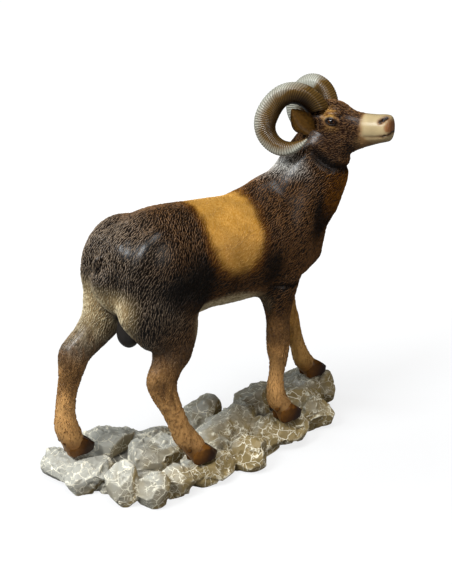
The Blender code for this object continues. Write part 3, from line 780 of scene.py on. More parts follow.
def tail():
    """A short flat tail that lies against the rump."""
    root = Vector((RUMP_X + 3.5 * MM, 1 * MM, BACK_HEIGHT - 17 * MM))
    tip = root + Vector((0, 2 * MM, -TAIL_LENGTH))
    rows = []
    shape = ((0, 0.5, 0.3), (0.2, 0.9, 0.5), (0.6, 1.0, 0.5), (0.9, 0.6, 0.35), (1, 0.2, 0.1))
    for way, width, thick in shape:
        middle = root.lerp(tip, way) + Vector((-3.5 * MM * math.sin(math.pi * min(1, way + 0.2)), 0, 0))
        rows.append((*middle, width * TAIL_WIDTH / 2, thick * TAIL_WIDTH, thick * TAIL_WIDTH, 0))
    return loft("Tail", rows, steps=2, points=12)


def scrotum():
    """A hanging pouch behind the belly, between the thighs."""
    top = Vector((RUMP_X + 13 * MM, 0, BACK_HEIGHT - BODY_DEPTH + 7 * MM))
    rows = []
    for way, width in ((0, 0.5), (0.2, 0.62), (0.5, 0.98), (0.75, 0.96), (0.92, 0.60), (1, 0.16)):
        middle = top + Vector((0, 0, -way * SCROTUM_LENGTH))
        half = width * SCROTUM_WIDTH / 2
        rows.append((*middle, half, half * 0.9, half * 0.9, 0))
    return loft("Scrotum", rows, steps=2, points=14)


def boulders():
    """Chiselled lumps that overlap each other, as a list of solids that reach below the ground."""
    draw = random.Random(SEED)
    made = []
    for x, y, z, wide, deep, tall, turn in BOULDERS:
        cuts = []
        for _ in range(BOULDER_CUTS):
            direction = Vector([draw.gauss(0, 1) for _ in range(3)]).normalized()
            cuts.append((direction, draw.uniform(DEEPEST_CUT, SHALLOWEST_CUT)))
        made.append(chiselled("Boulder", Vector((x, y, z)) * MM, (wide * MM, deep * MM, tall * MM),
                              math.radians(turn), cuts, detail=5))
    return made


def plinth():
    """The plate under the boulders, whose underside stands on the ground."""
    rings = []
    for height in (-GROUND_DEPTH / 2, PLINTH_HEIGHT):
        rings.append([Vector((x * MM, y * MM, height)) for x, y in PLINTH_OUTLINE])
    return skin("Plinth", rings)


def in_head(points):
    """Points in millimetres in the head's own frame: forward, left and up."""
    turn = np.array(Matrix.Rotation(-HEAD_TURN, 3, "Z"))
    return (points - np.array(HEAD_AT) / MM) @ turn.T


def near_route(points, route):
    """The distance from each point to a broken line through the route's points."""
    best = np.full(len(points), 1e9)
    for start, end in zip(route, route[1:]):
        start = np.array(start, float)
        line = np.array(end, float) - start
        share = np.clip((points - start) @ line / (line @ line), 0, 1)
        best = np.minimum(best, np.linalg.norm(points - start - share[:, None] * line, axis=1))
    return best


def head_share(points):
    """1 on the head and 0 on the neck, with a soft edge behind the cheek."""
    local = in_head(points)
    return step(local[:, 0] + 0.30 * local[:, 2], -8.5, -3.5) * step(local[:, 2], -14.0, -8.5)


# Routes in millimetres on one side: the jaw's crease, the nostril and the mouth in the head's own
# frame, the crease above the foreleg, and the dark collar round the neck on both sides
JAW_CREASE = ((-1, 14, -7), (0.9, 13.3, -9.2), (3.8, 12.1, -11.9), (6.5, 10.1, -14), (9.3, 7.1, -14.3),
              (11, 2.4, -15.2), (11, 0, -15.2))
NOSTRIL = ((26.3, 4.5, 7.6), (27.3, 3.6, 8.3), (28.6, 2.7, 9.2))
MOUTH = ((19.6, 5.9, 0.5), (21.3, 5.6, 0.5), (24.4, 5.1, 0.6), (26.6, 5.0, 1.1), (28.3, 4.5, 1.5),
         (30.1, 4.2, 2.2), (31, 2.6, 2.8), (31.3, 0, 2.8))
ELBOW_CREASE = ((11, 18, 87.6), (14.4, 18.1, 87.3), (18, 19.4, 86.9), (23, 19.7, 86), (27, 18.5, 86))
COLLAR = ((42, -20, 113), (45, -14, 119), (47, 0, 117), (45, 14, 117))

# Saddle patch on the flank: its middle and its half sizes along and down, in millimetres
SADDLE_MIDDLE = (-7.0, 119)
SADDLE_HALF = (14.8, 22.5)


def folded_head(local):
    """Points in the head's frame with both sides laid on its left."""
    return np.stack([local[:, 0], np.abs(local[:, 1]), local[:, 2]], 1)


def folded_side(points):
    """Points of the trunk with both sides laid on one, the left foreleg's stride taken off."""
    stride = np.where(points[:, 1] > 0, 0.5 * FORE_STRIDE / MM, 0)
    return np.stack([points[:, 0] - stride, np.abs(points[:, 1]), points[:, 2]], 1)


def carve_creases(made):
    """Presses the creases of jaw, elbow, nostrils and mouth into the coat."""
    points, normals = points_of(made)
    local = in_head(points)
    deep = np.zeros(len(points))
    inward = 1 - step(local[:, 0], 29.0, 30.6)
    for place, route, depth, width in ((folded_head(local), JAW_CREASE, 1.4, 1.9),
                                       (folded_side(points), ELBOW_CREASE, 0.8, 0.9),
                                       (folded_head(local), NOSTRIL, 0.8, 0.8),
                                       (folded_head(local), MOUTH, 0.35 * inward, 0.55)):
        deep += depth * np.exp(-(near_route(place, route) / width) ** 2)
    move_points(made, points - normals * deep[:, None])


def edge_wave(points):
    """A soft shift in millimetres, so that the borders of the paint don't run straight."""
    return 2.2 * ripple(points, 17, 3)


def nape_share(points, lowest):
    """1 on the back of the neck, fading out below a height in millimetres."""
    x, _, z = points.T
    return (1 - head_share(points)) * (1 - step(x + 0.25 * (z - 130), 30, 40)) * step(z, lowest, lowest + 9)


def saddle_reach(points):
    """How far each point lies from the middle of the saddle patch, with 1 on its oval."""
    x, _, z = points.T
    along = (x - SADDLE_MIDDLE[0]) / SADDLE_HALF[0]
    down = np.minimum(z - SADDLE_MIDDLE[1], 0) / SADDLE_HALF[1]
    return np.hypot(along, down) + 0.04 * ripple(points, 7, 5)


def trunk_paint(points, normals):
    """Weights of the painted regions of trunk and neck, in the order in which they are laid on,
    and of the saddle patch by itself."""
    x, y, z = points.T
    side = np.abs(y)
    flank = step(side, 8, 15)
    wave = edge_wave(points)
    body = 1 - head_share(points)
    reach = saddle_reach(points)
    upper = body * step(z, 90, 97)
    saddle = (1 - step(reach, 0.74, 1.06)) * upper
    fringe = (1 - step(reach, 0.98, 1.28)) * upper
    loin = step(x + wave, -58, -36) * step(z, 98, 108)
    dark = step(x + wave, -56, -40) * (1 - step(x + wave, -10, -1)) * flank
    dark = dark * step(z + 0.35 * (x + 45), 84, 92) * (1 - step(z - 0.18 * x + wave, 107, 121))
    under = step(x, -8, 2) * (1 - step(x + wave, 11, 19)) * step(z, 86, 92) * (1 - step(z, 100, 112)) * flank
    halo = 1 - step(np.hypot((x + 7.2) / 19.5, np.minimum(z - 119, 0) / 29.0), 0.85, 1.15)
    collar = near_route(points, COLLAR)
    lower = step(x, -24, -16) * (1 - step(x, 2, 10)) * (1 - step(z + wave, 92, 101))
    thigh = step(x + wave, -54, -42) * step(-x, 16, 24) * (1 - step(z + wave, 74, 92)) * step(side, 7, 12)
    belly = 1 - step(z + 0.012 * (x + 10) ** 2 + wave * 0.4, 84, 90)
    belly = belly * step(x, -33, -25) * (1 - step(x, 9, 16)) * step(z, 68, 76)
    rear = (1 - step(x + 0.10 * (z - 80) + wave * 0.7, -63, -55)) * (1 - step(z, 92, 101))
    inner = (1 - step(side, 5, 10)) * (1 - step(z, 76, 86)) * step(-x, 0, 20)
    regions = [
        ("brown", body * np.maximum(step(x + wave, -38, -12), 0.85 * loin)),
        ("black", 0.95 * dark),
        ("black", 0.85 * under),
        ("black", 0.30 * halo * step(-z, -126, -112) * flank),
        ("fringe", fringe),
        ("saddle", saddle),
        ("black", 0.9 * body * (1 - step(collar + wave, 5, 12))),
        ("throat", body * step(x + wave * 0.6, 39, 47) * step(z, 110, 122)),
        # Grey dry brush on the nape, with a painted sheen in its near-white raised colour
        ("nape", nape_share(points, 131)),
        ("brown", 0.75 * lower),
        ("dark_leg", 0.70 * thigh),
        ("pale", belly * step(-normals[:, 2], -0.45, 0.05)),
        ("pale", 0.95 * rear * step(z, 66, 84)),
        ("pale", 0.8 * inner),
    ]
    return regions, saddle


def leg_paint(points, normals):
    """Weights of the painted regions of the legs, of the painted shade in the crease above the foreleg, and
    of the pouch.
    """
    x, y, z = points.T
    wave = edge_wave(points)
    low = step(-z - 8 * step(-x, 0, 20), -76 - wave, -60 - wave) * step(-z, -79, -60)
    # The left foreleg is painted lighter, in the saddle's gold with its dark front thinned: painted light on
    # a leg that stands in shade
    left_fore = step(x, 0, 10) * step(y, -2, 2)
    right_fore = step(x, 0, 10) * step(-y, -2, 2)
    front = low * step(normals[:, 0] + 0.25 * ripple(points, 6, 8), 0.05, 0.75)
    front = front * (0.30 + 0.70 * step(z, 48, 62)) * (1 - 0.6 * left_fore)
    streak = step(ripple(points * (1, 1, 0.22), 3.2, 14), 0.05, 0.75) * (1 - 0.5 * step(x, -10, 0))
    hock = low * step(z + wave, 40, 52) * (1 - step(x, 0, 12)) * (0.5 + 0.5 * ripple(points, 8, 12))
    pastern = np.zeros(len(points))
    for foot in FEET.values():
        gap = np.hypot(x - foot.x / MM, y - foot.y / MM)
        pastern = np.maximum(pastern, (1 - step(gap, 12, 16)) * (1 - step(z - foot.z / MM + wave, 4, 12)))
    elbow = near_route(folded_side(points), ELBOW_CREASE)
    pouch = np.hypot(x - belly_point(0.112, 0.0).x / MM, y)
    return [
        ("leg", low),
        ("dark_leg", 0.85 * front),
        ("dark_leg", 0.90 * low * right_fore * step(z + wave, 50, 64)),
        # Painted light: the saddle's gold laid on the shaded left foreleg
        ("saddle", 0.60 * low * left_fore),
        ("dark_leg", 0.62 * streak * step(z, 34, 46) * (1 - step(z, 68, 84))),
        ("dark_leg", 0.7 * hock),
        ("hoof", 0.85 * pastern),
        # Painted shade: near black in the crease above the foreleg
        ("black", 0.8 * (1 - step(elbow, 0.5, 2.0))),
        ("pouch", (1 - step(pouch, 5.5, 7.5)) * (1 - step(z, 80, 84)) * step(z, 60, 63)),
    ]


def face_paint(points):
    """Weights of the painted regions of the head, with painted shadow along the crease behind the jaw and in
    the dark part of the mouth line.
    """
    local = in_head(points)
    forward, left, up = local.T
    skull = head_share(points)
    over_eye = np.hypot((forward - 3.2) / 4.4, (up - 9.9) / 3.0) + 0.14 * ripple(points, 4, 2)
    over_eye = (1 - step(over_eye, 0.50, 1.25)) * (1 - 0.9 * step(forward, 5.0, 8.0)) * step(up, 6.2, 8.2)
    below_eye = np.hypot((forward - 4.6) / 4.0, (up - 3.6) / 1.5) + 0.14 * ripple(points, 4, 4)
    below_eye = 0.28 * (1 - step(below_eye, 0.5, 1.25))
    jaw = near_route(folded_head(local), JAW_CREASE) + 0.2 * edge_wave(points)
    rim = np.hypot((forward - 5.2) / 3.4, (up - 6.8 + 0.18 * (forward - 5.2)) / 2.15)
    cream = forward - 1.2 * np.maximum(1 - up, 0) + 0.35 * ripple(points, 5, 6)
    tip = step(forward + 0.35 * np.abs(left) - 0.3 * np.abs(up - 5.5), 29.2, 31.0)
    tip = tip * (1 - step(up, 8.6, 10.2)) * step(up, 2.6, 3.8)
    nostril = near_route(folded_head(local), NOSTRIL)
    mouth = near_route(folded_head(local), MOUTH)
    return [
        ("head", skull),
        ("eye", skull * np.maximum(over_eye, below_eye)),
        # Near black along the crease under the jaw: painted shadow where the jaw overhangs the neck
        ("black", 0.95 * (1 - step(jaw, 1.2, 4.2))),
        ("black", skull * (1 - step(rim, 0.80, 1.15))),
        ("muzzle", skull * step(cream, 17.0, 19.6)),
        ("muzzle_wash", 0.6 * skull * step(forward, 13.5, 18.5) * (1 - step(up, -1.5, 1.0))),
        ("nose", 0.85 * skull * tip),
        ("nose", 0.75 * skull * (1 - step(nostril, 0.9, 2.3))),
        ("black", skull * (1 - step(nostril, 0.65, 1.35))),
        ("nose", 0.55 * skull * (1 - step(mouth, 0.4, 1.4)) * step(forward, 24, 28)),
        ("head", 0.45 * skull * (1 - step(mouth, 0.2, 0.8)) * step(forward, 17, 20)),
        # The black part of the mouth line is painted shadow in the groove of the mouth
        ("black", 0.9 * skull * (1 - step(mouth, 0.2, 0.75)) * step(forward, 25.0, 28.0)),
    ]


def paint_pairs():
    """The raised and the hollow colour of each painted region."""
    use = paints()
    return {
        "brown": (use.brown_high, use.brown_low),
        "black": (use.black_high, use.black_low),
        "saddle": (use.saddle_high, use.saddle_low),
        "fringe": (use.fringe_high, use.fringe_low),
        "pale": (use.pale_high, use.pale_low),
        "leg": (use.leg_high, use.leg_low),
        "dark_leg": (use.dark_leg_high, use.dark_leg_low),
        "throat": (use.throat_high, use.throat_low),
        "nape": (use.nape_dry_brush_and_sheen, use.nape_low),
        "head": (use.head_high, use.head_low),
        # The eye patch's hollows take the legs' golden wash, not the head's dark one: painted light where the
        # horn casts its shadow
        "eye": (use.eye_ring, use.leg_low),
        "muzzle": (use.muzzle, use.muzzle),
        "muzzle_wash": (use.muzzle_wash, use.muzzle_wash),
        "nose": (use.nose, use.hoof_low),
        "pouch": (use.pouch, use.pouch),
        "hoof": (use.hoof_high, use.hoof_low),
    }


def paint_coat(made):
    """Lays the regions of paint on the coat as two colours, one for raised strokes, one for hollows."""
    points, normals = points_of(made)
    use = paints()
    high = np.tile(np.array(use.rump_high), (len(points), 1))
    low = np.tile(np.array(use.rump_low), (len(points), 1))
    pairs = paint_pairs()
    regions, saddle = trunk_paint(points, normals)
    for name, weight in [*regions, *leg_paint(points, normals), *face_paint(points)]:
        weight = np.clip(weight, 0, 1)[:, None]
        high = high + (np.array(pairs[name][0]) - high) * weight
        low = low + (np.array(pairs[name][1]) - low) * weight
    keep(made, "high", "FLOAT_COLOR", high)
    keep(made, "low", "FLOAT_COLOR", low)
    fur_guides(made, points, normals, saddle)


def fur_guides(made, points, normals, saddle):
    """Where tufts grow on the coat, how large they are, which way they lie, and in which patch."""
    x, y, z = points.T
    forward, _, up = in_head(points).T
    skull = head_share(points)
    neck_part = step(z - 0.5 * (x - 20), 124, 134) * (1 - skull)
    low = 1 - step(z, 66, 80)
    rear = 1 - step(x, -52, -30)
    trunk_way = np.array((-0.80, 0.0, -0.60))
    rear_way = np.array((-0.42, 0.0, -0.90))
    leg_way = np.array((-0.08, 0.0, -1.0))
    neck_way = np.array((-0.45, 0.0, -0.89))
    back = on_head(-1 / MM, 0, 0) - HEAD_AT
    head_way = np.array((back.x, back.y, -0.25))
    way = np.tile(trunk_way, (len(points), 1))
    for other, weight in ((rear_way, rear), (leg_way, low), (neck_way, neck_part), (head_way, skull)):
        way = way + (other - way) * weight[:, None]
    swirl = 0.35 * ripple(points, 26, 21)
    way = way + np.stack([swirl, 0 * swirl, 0.5 * swirl], 1)
    way -= normals * np.sum(way * normals, axis=1)[:, None]
    way /= np.maximum(np.linalg.norm(way, axis=1), 1e-6)[:, None]
    bare = skull * step(forward, 15.5, 18.5)
    eye = skull * (1 - step(np.hypot((forward - 5.0) / 3.2, (up - 6.9) / 2.4), 1.0, 1.25))
    pouch = (1 - step(np.hypot(x - (RUMP_X / MM + 13), y), 6, 8)) * (1 - step(z, 80, 84)) * step(z, 60, 63)
    shank = 1 - step(z, 32, 58)
    fur = np.clip(1 - bare - eye - pouch - 0.45 * shank, 0, 1)
    for foot in FEET.values():
        gap = np.hypot(x - foot.x / MM, y - foot.y / MM)
        fur *= np.maximum(step(gap, 13, 15), step(z - foot.z / MM, 6, 11))
    size = 1.0 - 0.34 * saddle - 0.30 * low - 0.45 * skull - 0.18 * neck_part
    patch = np.where(skull > 0.5, 3, np.where(z < 72, 2, np.where(x < -14, 0, np.where(x < 16, 4, 1))))
    keep(made, "way", "FLOAT_VECTOR", way)
    keep(made, "fur", "FLOAT", fur)
    keep(made, "size", "FLOAT", np.clip(size, 0.3, 1))
    keep(made, "patch", "INT", patch.astype(np.int32))
    # Where few tufts grow the skin itself takes the raised colour; on the nape the raised colour is also
    # lifted in as a painted sheen
    smooth = 0.02 + 0.35 * nape_share(points, 133) + 0.90 * np.maximum(1 - fur, shank)
    keep(made, "ridge", "FLOAT", np.clip(smooth + 0.34 * saddle + 0.42 * low, 0, 1))


def coat_material():
    """Acrylic paint dry-brushed over polyester resin, under a satin lacquer."""
    material, shader = new_material("Painted resin fur", 0.36, 0.20)
    tree = material.node_tree
    place = node(tree, "ShaderNodeTexCoord").outputs["Object"]
    high, low = (node(tree, "ShaderNodeAttribute", attribute_name=name).outputs["Color"]
                 for name in ("high", "low"))
    ridge, tone = (node(tree, "ShaderNodeAttribute", attribute_name=name).outputs["Fac"]
                   for name in ("ridge", "tone"))
    # Brush marks about 1 mm across break up the raised colour
    brush = node(tree, "ShaderNodeTexNoise",
                 {"Vector": place, "Scale": 1 / (1.11 * MM), "Detail": 3.0}).outputs["Fac"]
    brush = node(tree, "ShaderNodeMapRange", {"Value": brush, "From Min": 0.3, "From Max": 0.7,
                                              "To Min": -0.28, "To Max": 0.22}).outputs["Result"]
    lift = node(tree, "ShaderNodeMath", {0: ridge, 1: brush}, operation="ADD").outputs[0]
    lift = node(tree, "ShaderNodeMath", {0: lift, 1: tone}, operation="ADD", use_clamp=True).outputs[0]
    colour = node(tree, "ShaderNodeMix", {"Factor": lift, "A": low, "B": high}, data_type="RGBA")
    colour = colour.outputs["Result"]
    # Patches of thinner and thicker wash about 12 mm across
    wash = node(tree, "ShaderNodeTexNoise",
                {"Vector": place, "Scale": 1 / (11.76 * MM), "Detail": 2.0}).outputs["Fac"]
    wash = node(tree, "ShaderNodeMapRange", {"Value": wash, "From Min": 0.35, "From Max": 0.65,
                                             "To Min": 0.78, "To Max": 1.16}).outputs["Result"]
    colour = node(tree, "ShaderNodeHueSaturation", {"Color": colour, "Value": wash}).outputs["Color"]
    tree.links.new(colour, shader.inputs["Base Color"])
    # Fine grain of the paint, about 0.4 mm
    grain = node(tree, "ShaderNodeTexNoise",
                 {"Vector": place, "Scale": 1 / (0.417 * MM), "Detail": 2.0}).outputs["Fac"]
    bump = node(tree, "ShaderNodeBump", {"Height": grain, "Strength": 0.5, "Distance": 0.09 * MM})
    tree.links.new(bump.outputs["Normal"], shader.inputs["Normal"])
    return material


def new_tree(name, sockets):
    """A Geometry Nodes tree that takes a geometry and the sockets, by name and kind, and gives one."""
    tree = bpy.data.node_groups.new(name, "GeometryNodeTree")
    for label, kind in (("Geometry", "Geometry"), *sockets):
        tree.interface.new_socket(label, in_out="INPUT", socket_type="NodeSocket" + kind)
    tree.interface.new_socket("Geometry", in_out="OUTPUT", socket_type="NodeSocketGeometry")
    return tree


def tuft_shape(name, bend):
    """One leaf-shaped tuft along +X with its crest up, closed, its underside sunk in the body."""
    use = sizes()
    outline = ((0.0, 0.10, 0.05), (0.30, 0.95, 0.90), (0.70, 0.80, 0.85), (1.0, 0.06, 0.02))
    mesh = bmesh.new()
    layer = mesh.verts.layers.float.new("ridge")
    rows = []
    for way, wide, tall in outline:
        x = (way - 0.5) * use.stroke_length
        y = bend * math.sin(way * 4.2) * use.stroke_width
        half = wide * use.stroke_width / 2
        lowest = -0.45 * use.stroke_height
        row = [mesh.verts.new((x, y - half, lowest)), mesh.verts.new((x, y, tall * use.stroke_height)),
               mesh.verts.new((x, y + half, lowest))]
        row[1][layer] = 0.30 + 0.70 * tall
        rows.append(row)
    for before, after in zip(rows, rows[1:]):
        for index in range(3):
            other = (index + 1) % 3
            mesh.faces.new((before[index], before[other], after[other], after[index]))
    mesh.faces.new(rows[0])
    mesh.faces.new(rows[-1][::-1])
    return new_object(name, mesh)


def fur_tree(shapes):
    """Geometry Nodes that scatter tufts over one patch of the coat, laid along the hair's way."""
    tree = new_tree("Fur strokes", (("Patch", "Int"), ("Spacing", "Float"), ("Seed", "Int"),
                                    ("Turn", "Float"), ("Material", "Material")))
    given = node(tree, "NodeGroupInput").outputs
    patch, fur, way, size = (
        node(tree, "GeometryNodeInputNamedAttribute", {"Name": name}, data_type=kind).outputs[0]
        for name, kind in (("patch", "INT"), ("fur", "FLOAT"), ("way", "FLOAT_VECTOR"), ("size", "FLOAT")))
    chosen = node(tree, "FunctionNodeCompare", {2: patch, 3: given["Patch"]}, data_type="INT",
                  operation="EQUAL").outputs[0]
    part = node(tree, "GeometryNodeSeparateGeometry", {"Geometry": given["Geometry"], "Selection": chosen},
                domain="FACE").outputs[0]
    sown = node(tree, "GeometryNodeDistributePointsOnFaces",
                {"Mesh": part, "Distance Min": given["Spacing"], "Density Max": 2.5e6,
                 "Density Factor": fur, "Seed": given["Seed"]}, distribute_method="POISSON")
    upright = node(tree, "FunctionNodeAlignRotationToVector", {"Vector": sown.outputs["Normal"]},
                   axis="Z").outputs[0]
    laid = node(tree, "FunctionNodeAlignRotationToVector", {"Rotation": upright, "Vector": way},
                axis="X", pivot_axis="Z").outputs[0]
    sway = node(tree, "ShaderNodeMath", {0: given["Turn"], 1: -1.0}, operation="MULTIPLY").outputs[0]
    sway = node(tree, "FunctionNodeRandomValue", {2: sway, 3: given["Turn"], "Seed": 3},
                data_type="FLOAT").outputs[1]
    sway = node(tree, "FunctionNodeAxisAngleToRotation", {"Angle": sway}).outputs[0]
    turned = node(tree, "FunctionNodeRotateRotation", {"Rotation": laid, "Rotate By": sway},
                  rotation_space="LOCAL").outputs[0]
    spread = node(tree, "FunctionNodeRandomValue", {2: 0.70, 3: 1.20, "Seed": 5},
                  data_type="FLOAT").outputs[1]
    scale = node(tree, "ShaderNodeMath", {0: spread, 1: size}, operation="MULTIPLY").outputs[0]
    tufts = node(tree, "GeometryNodeJoinGeometry")
    for shape in shapes:
        source = node(tree, "GeometryNodeObjectInfo", {"Object": shape, "As Instance": True})
        tree.links.new(source.outputs["Geometry"], tufts.inputs[0])
    pick = node(tree, "FunctionNodeRandomValue", {4: 0, 5: len(shapes) - 1, "Seed": 9},
                data_type="INT").outputs[2]
    grown = node(tree, "GeometryNodeInstanceOnPoints",
                 {"Points": sown.outputs["Points"], "Instance": tufts.outputs[0], "Pick Instance": True,
                  "Instance Index": pick, "Rotation": turned, "Scale": scale}).outputs[0]
    tone = node(tree, "FunctionNodeRandomValue", {2: -0.22, 3: 0.16, "Seed": 7}, data_type="FLOAT").outputs[1]
    toned = node(tree, "GeometryNodeStoreNamedAttribute",
                 {"Geometry": grown, "Name": "tone", "Value": tone}, data_type="FLOAT",
                 domain="INSTANCE").outputs[0]
    real = node(tree, "GeometryNodeRealizeInstances", {"Geometry": toned}).outputs[0]
    done = node(tree, "GeometryNodeSetMaterial", {"Geometry": real, "Material": given["Material"]}).outputs[0]
    node(tree, "NodeGroupOutput", {"Geometry": done})
    return tree


def grown_by(tree, base, name, values):
    """A new object with the mesh that the node tree makes from the base, its inputs set by name."""
    grower = base.modifiers.new("Nodes", "NODES")
    grower.node_group = tree
    for socket in tree.interface.items_tree:
        if socket.name in values:
            grower[socket.identifier] = values[socket.name]
    base.update_tag()
    bpy.context.view_layer.update()
    graph = bpy.context.evaluated_depsgraph_get()
    mesh = bpy.data.meshes.new_from_object(base.evaluated_get(graph))
    base.modifiers.remove(grower)
    if len(mesh.polygons) == 0:
        raise RuntimeError(f"{name}: the node tree made nothing")
    made = bpy.data.objects.new(name, mesh)
    bpy.context.scene.collection.objects.link(made)
    return made


class MOUFLON_OT_coat(bpy.types.Operator):
    """Builds the ram's body, neck, head and legs with their painted coat and modelled tufts"""
    bl_idname = "mouflon.coat"
    bl_label = "Coat and fur strokes"

    def execute(self, context):
        flesh = fuse("Flesh", [trunk(), neck(), *legs(), *muscles()], FLESH_VOXEL, FLESH_ROUNDS)
        details = [head(), *face(), *legs(LEG_FREE_ROW), tail(), scrotum()]
        coat = fuse("Coat", [flesh, *details], COAT_VOXEL, COAT_ROUNDS)
        carve_creases(coat)
        cut(coat, face_cuts())
        paint_coat(coat)
        material = coat_material()
        use = sizes()
        shapes = [tuft_shape("Tuft", bend) for bend in (-0.32, 0.10, 0.38)]
        tree = fur_tree(shapes)
        patches = (("fur_of_rump", 1.0, 0.24), ("fur_of_shoulder_and_neck", 0.94, 0.34),
                   ("fur_of_legs", 0.82, 0.20), ("fur_of_head", 0.66, 0.42), ("fur_of_flank", 0.96, 0.28))
        for index, (name, share, turn) in enumerate(patches):
            values = {"Patch": index, "Spacing": share * use.stroke_spacing, "Seed": use.seed + index,
                      "Turn": turn, "Material": material}
            fur = grown_by(tree, coat, name, values)
            finish_piece(fur, name, material)
        for shape in shapes:
            bpy.data.objects.remove(shape)
        finish_piece(coat, "coat", material)
        return {"FINISHED"}


def fine_horn(side):
    """A horn as in the solid, finely divided, with how far along and how far out each point is."""
    coil_middle = (-13, 7.4)
    root_angle = math.radians(18)
    stations = 420
    section = smooth_rows(((1, 0), (0.58, 0.90), (-0.55, 0.80), (-1, 0),
                           (-0.55, -0.80), (0.58, -0.90), (1, 0)), 5)[:-1]
    shape = smooth_rows((
        (0.00, 0.00, 1.00, 1.04),
        (0.20, 0.45, 1.05, 0.97),
        (0.40, 0.78, 0.83, 1.00),
        (0.55, 0.92, 0.84, 1.05),
        (0.70, 1.00, 0.97, 0.88),
        (0.84, 1.00, 1.09, 0.70),
        (0.94, 0.84, 1.10, 0.38),
        (1.00, 0.65, 1.08, 0.08),
    ), 6)
    rings = []
    along = []
    rim = []
    travel = 0.0
    before = None
    for station in range(stations + 1):
        way = station / stations
        row = [np.interp(way, [r[0] for r in shape], [r[column] for r in shape]) for column in (1, 2, 3)]
        angle = root_angle + way * HORN_SWEEP
        radius = row[1] * HORN_RADIUS / MM
        thick = row[2] * HORN_THICKNESS / 2
        wide = row[2] * HORN_WIDTH / 2
        left = side * (HORN_ROOT_SPACING / 2 + row[0] * HORN_SPREAD) / MM
        middle = on_head(coil_middle[0] + radius * math.cos(angle), left,
                         coil_middle[1] + radius * math.sin(angle))
        out = on_head(math.cos(angle) / MM, 0, math.sin(angle) / MM) - HEAD_AT
        across = on_head(0, side / MM, 0) - HEAD_AT
        travel += (middle - before).length if before is not None else 0.0
        before = middle
        rings.append([middle + out * point[0] * thick + across * point[1] * wide for point in section])
        along += [travel] * len(section)
        inner = step(np.array(travel / MM), 9.5, 14)
        rim += [point[0] + inner * max(0.0, -point[1]) for point in section]
    made = skin("Horn", rings)
    keep(made, "along", "FLOAT", np.array(along + [0.0, travel]))
    keep(made, "rim", "FLOAT", np.array(rim + [0.0, 0.0]))
    return made


def ring_tree():
    """Geometry Nodes that sink grooves between the rings of a horn, less towards its tip."""
    tree = new_tree("Horn rings", (("Pitch", "Float"), ("Depth", "Float"), ("Seed", "Float"),
                                   ("Material", "Material")))
    given = node(tree, "NodeGroupInput").outputs
    along = node(tree, "GeometryNodeInputNamedAttribute", {"Name": "along"}, data_type="FLOAT").outputs[0]
    place = node(tree, "GeometryNodeInputPosition").outputs[0]
    drift = node(tree, "ShaderNodeTexNoise", {"Vector": place, "W": given["Seed"], "Scale": 1 / (6.25 * MM),
                                              "Detail": 1.0}, noise_dimensions="4D").outputs["Fac"]
    count = node(tree, "ShaderNodeMath", {0: along, 1: given["Pitch"]}, operation="DIVIDE").outputs[0]
    count = node(tree, "ShaderNodeMath", {0: drift, 1: 1.4, 2: count}, operation="MULTIPLY_ADD").outputs[0]
    turn = node(tree, "ShaderNodeMath", {0: count, 1: 2 * math.pi}, operation="MULTIPLY").outputs[0]
    wave = node(tree, "ShaderNodeMath", {0: turn}, operation="COSINE").outputs[0]
    wave = node(tree, "ShaderNodeMath", {0: wave, 1: 0.5, 2: 0.5}, operation="MULTIPLY_ADD").outputs[0]
    wave = node(tree, "ShaderNodeMath", {0: wave, 1: 1.6}, operation="POWER").outputs[0]
    depth = node(tree, "ShaderNodeMath", {0: given["Depth"], 1: -1.0}, operation="MULTIPLY").outputs[0]
    sink = node(tree, "ShaderNodeMath", {0: wave, 1: depth}, operation="MULTIPLY").outputs[0]
    normal = node(tree, "GeometryNodeInputNormal").outputs[0]
    offset = node(tree, "ShaderNodeVectorMath", {0: normal, "Scale": sink}, operation="SCALE").outputs[0]
    moved = node(tree, "GeometryNodeSetPosition",
                 {"Geometry": given["Geometry"], "Offset": offset}).outputs[0]
    marked = node(tree, "GeometryNodeStoreNamedAttribute",
                  {"Geometry": moved, "Name": "groove", "Value": wave}, data_type="FLOAT",
                  domain="POINT").outputs[0]
    real = node(tree, "GeometryNodeRealizeInstances", {"Geometry": marked}).outputs[0]
    done = node(tree, "GeometryNodeSetMaterial", {"Geometry": real, "Material": given["Material"]}).outputs[0]
    node(tree, "NodeGroupOutput", {"Geometry": done})
    return tree


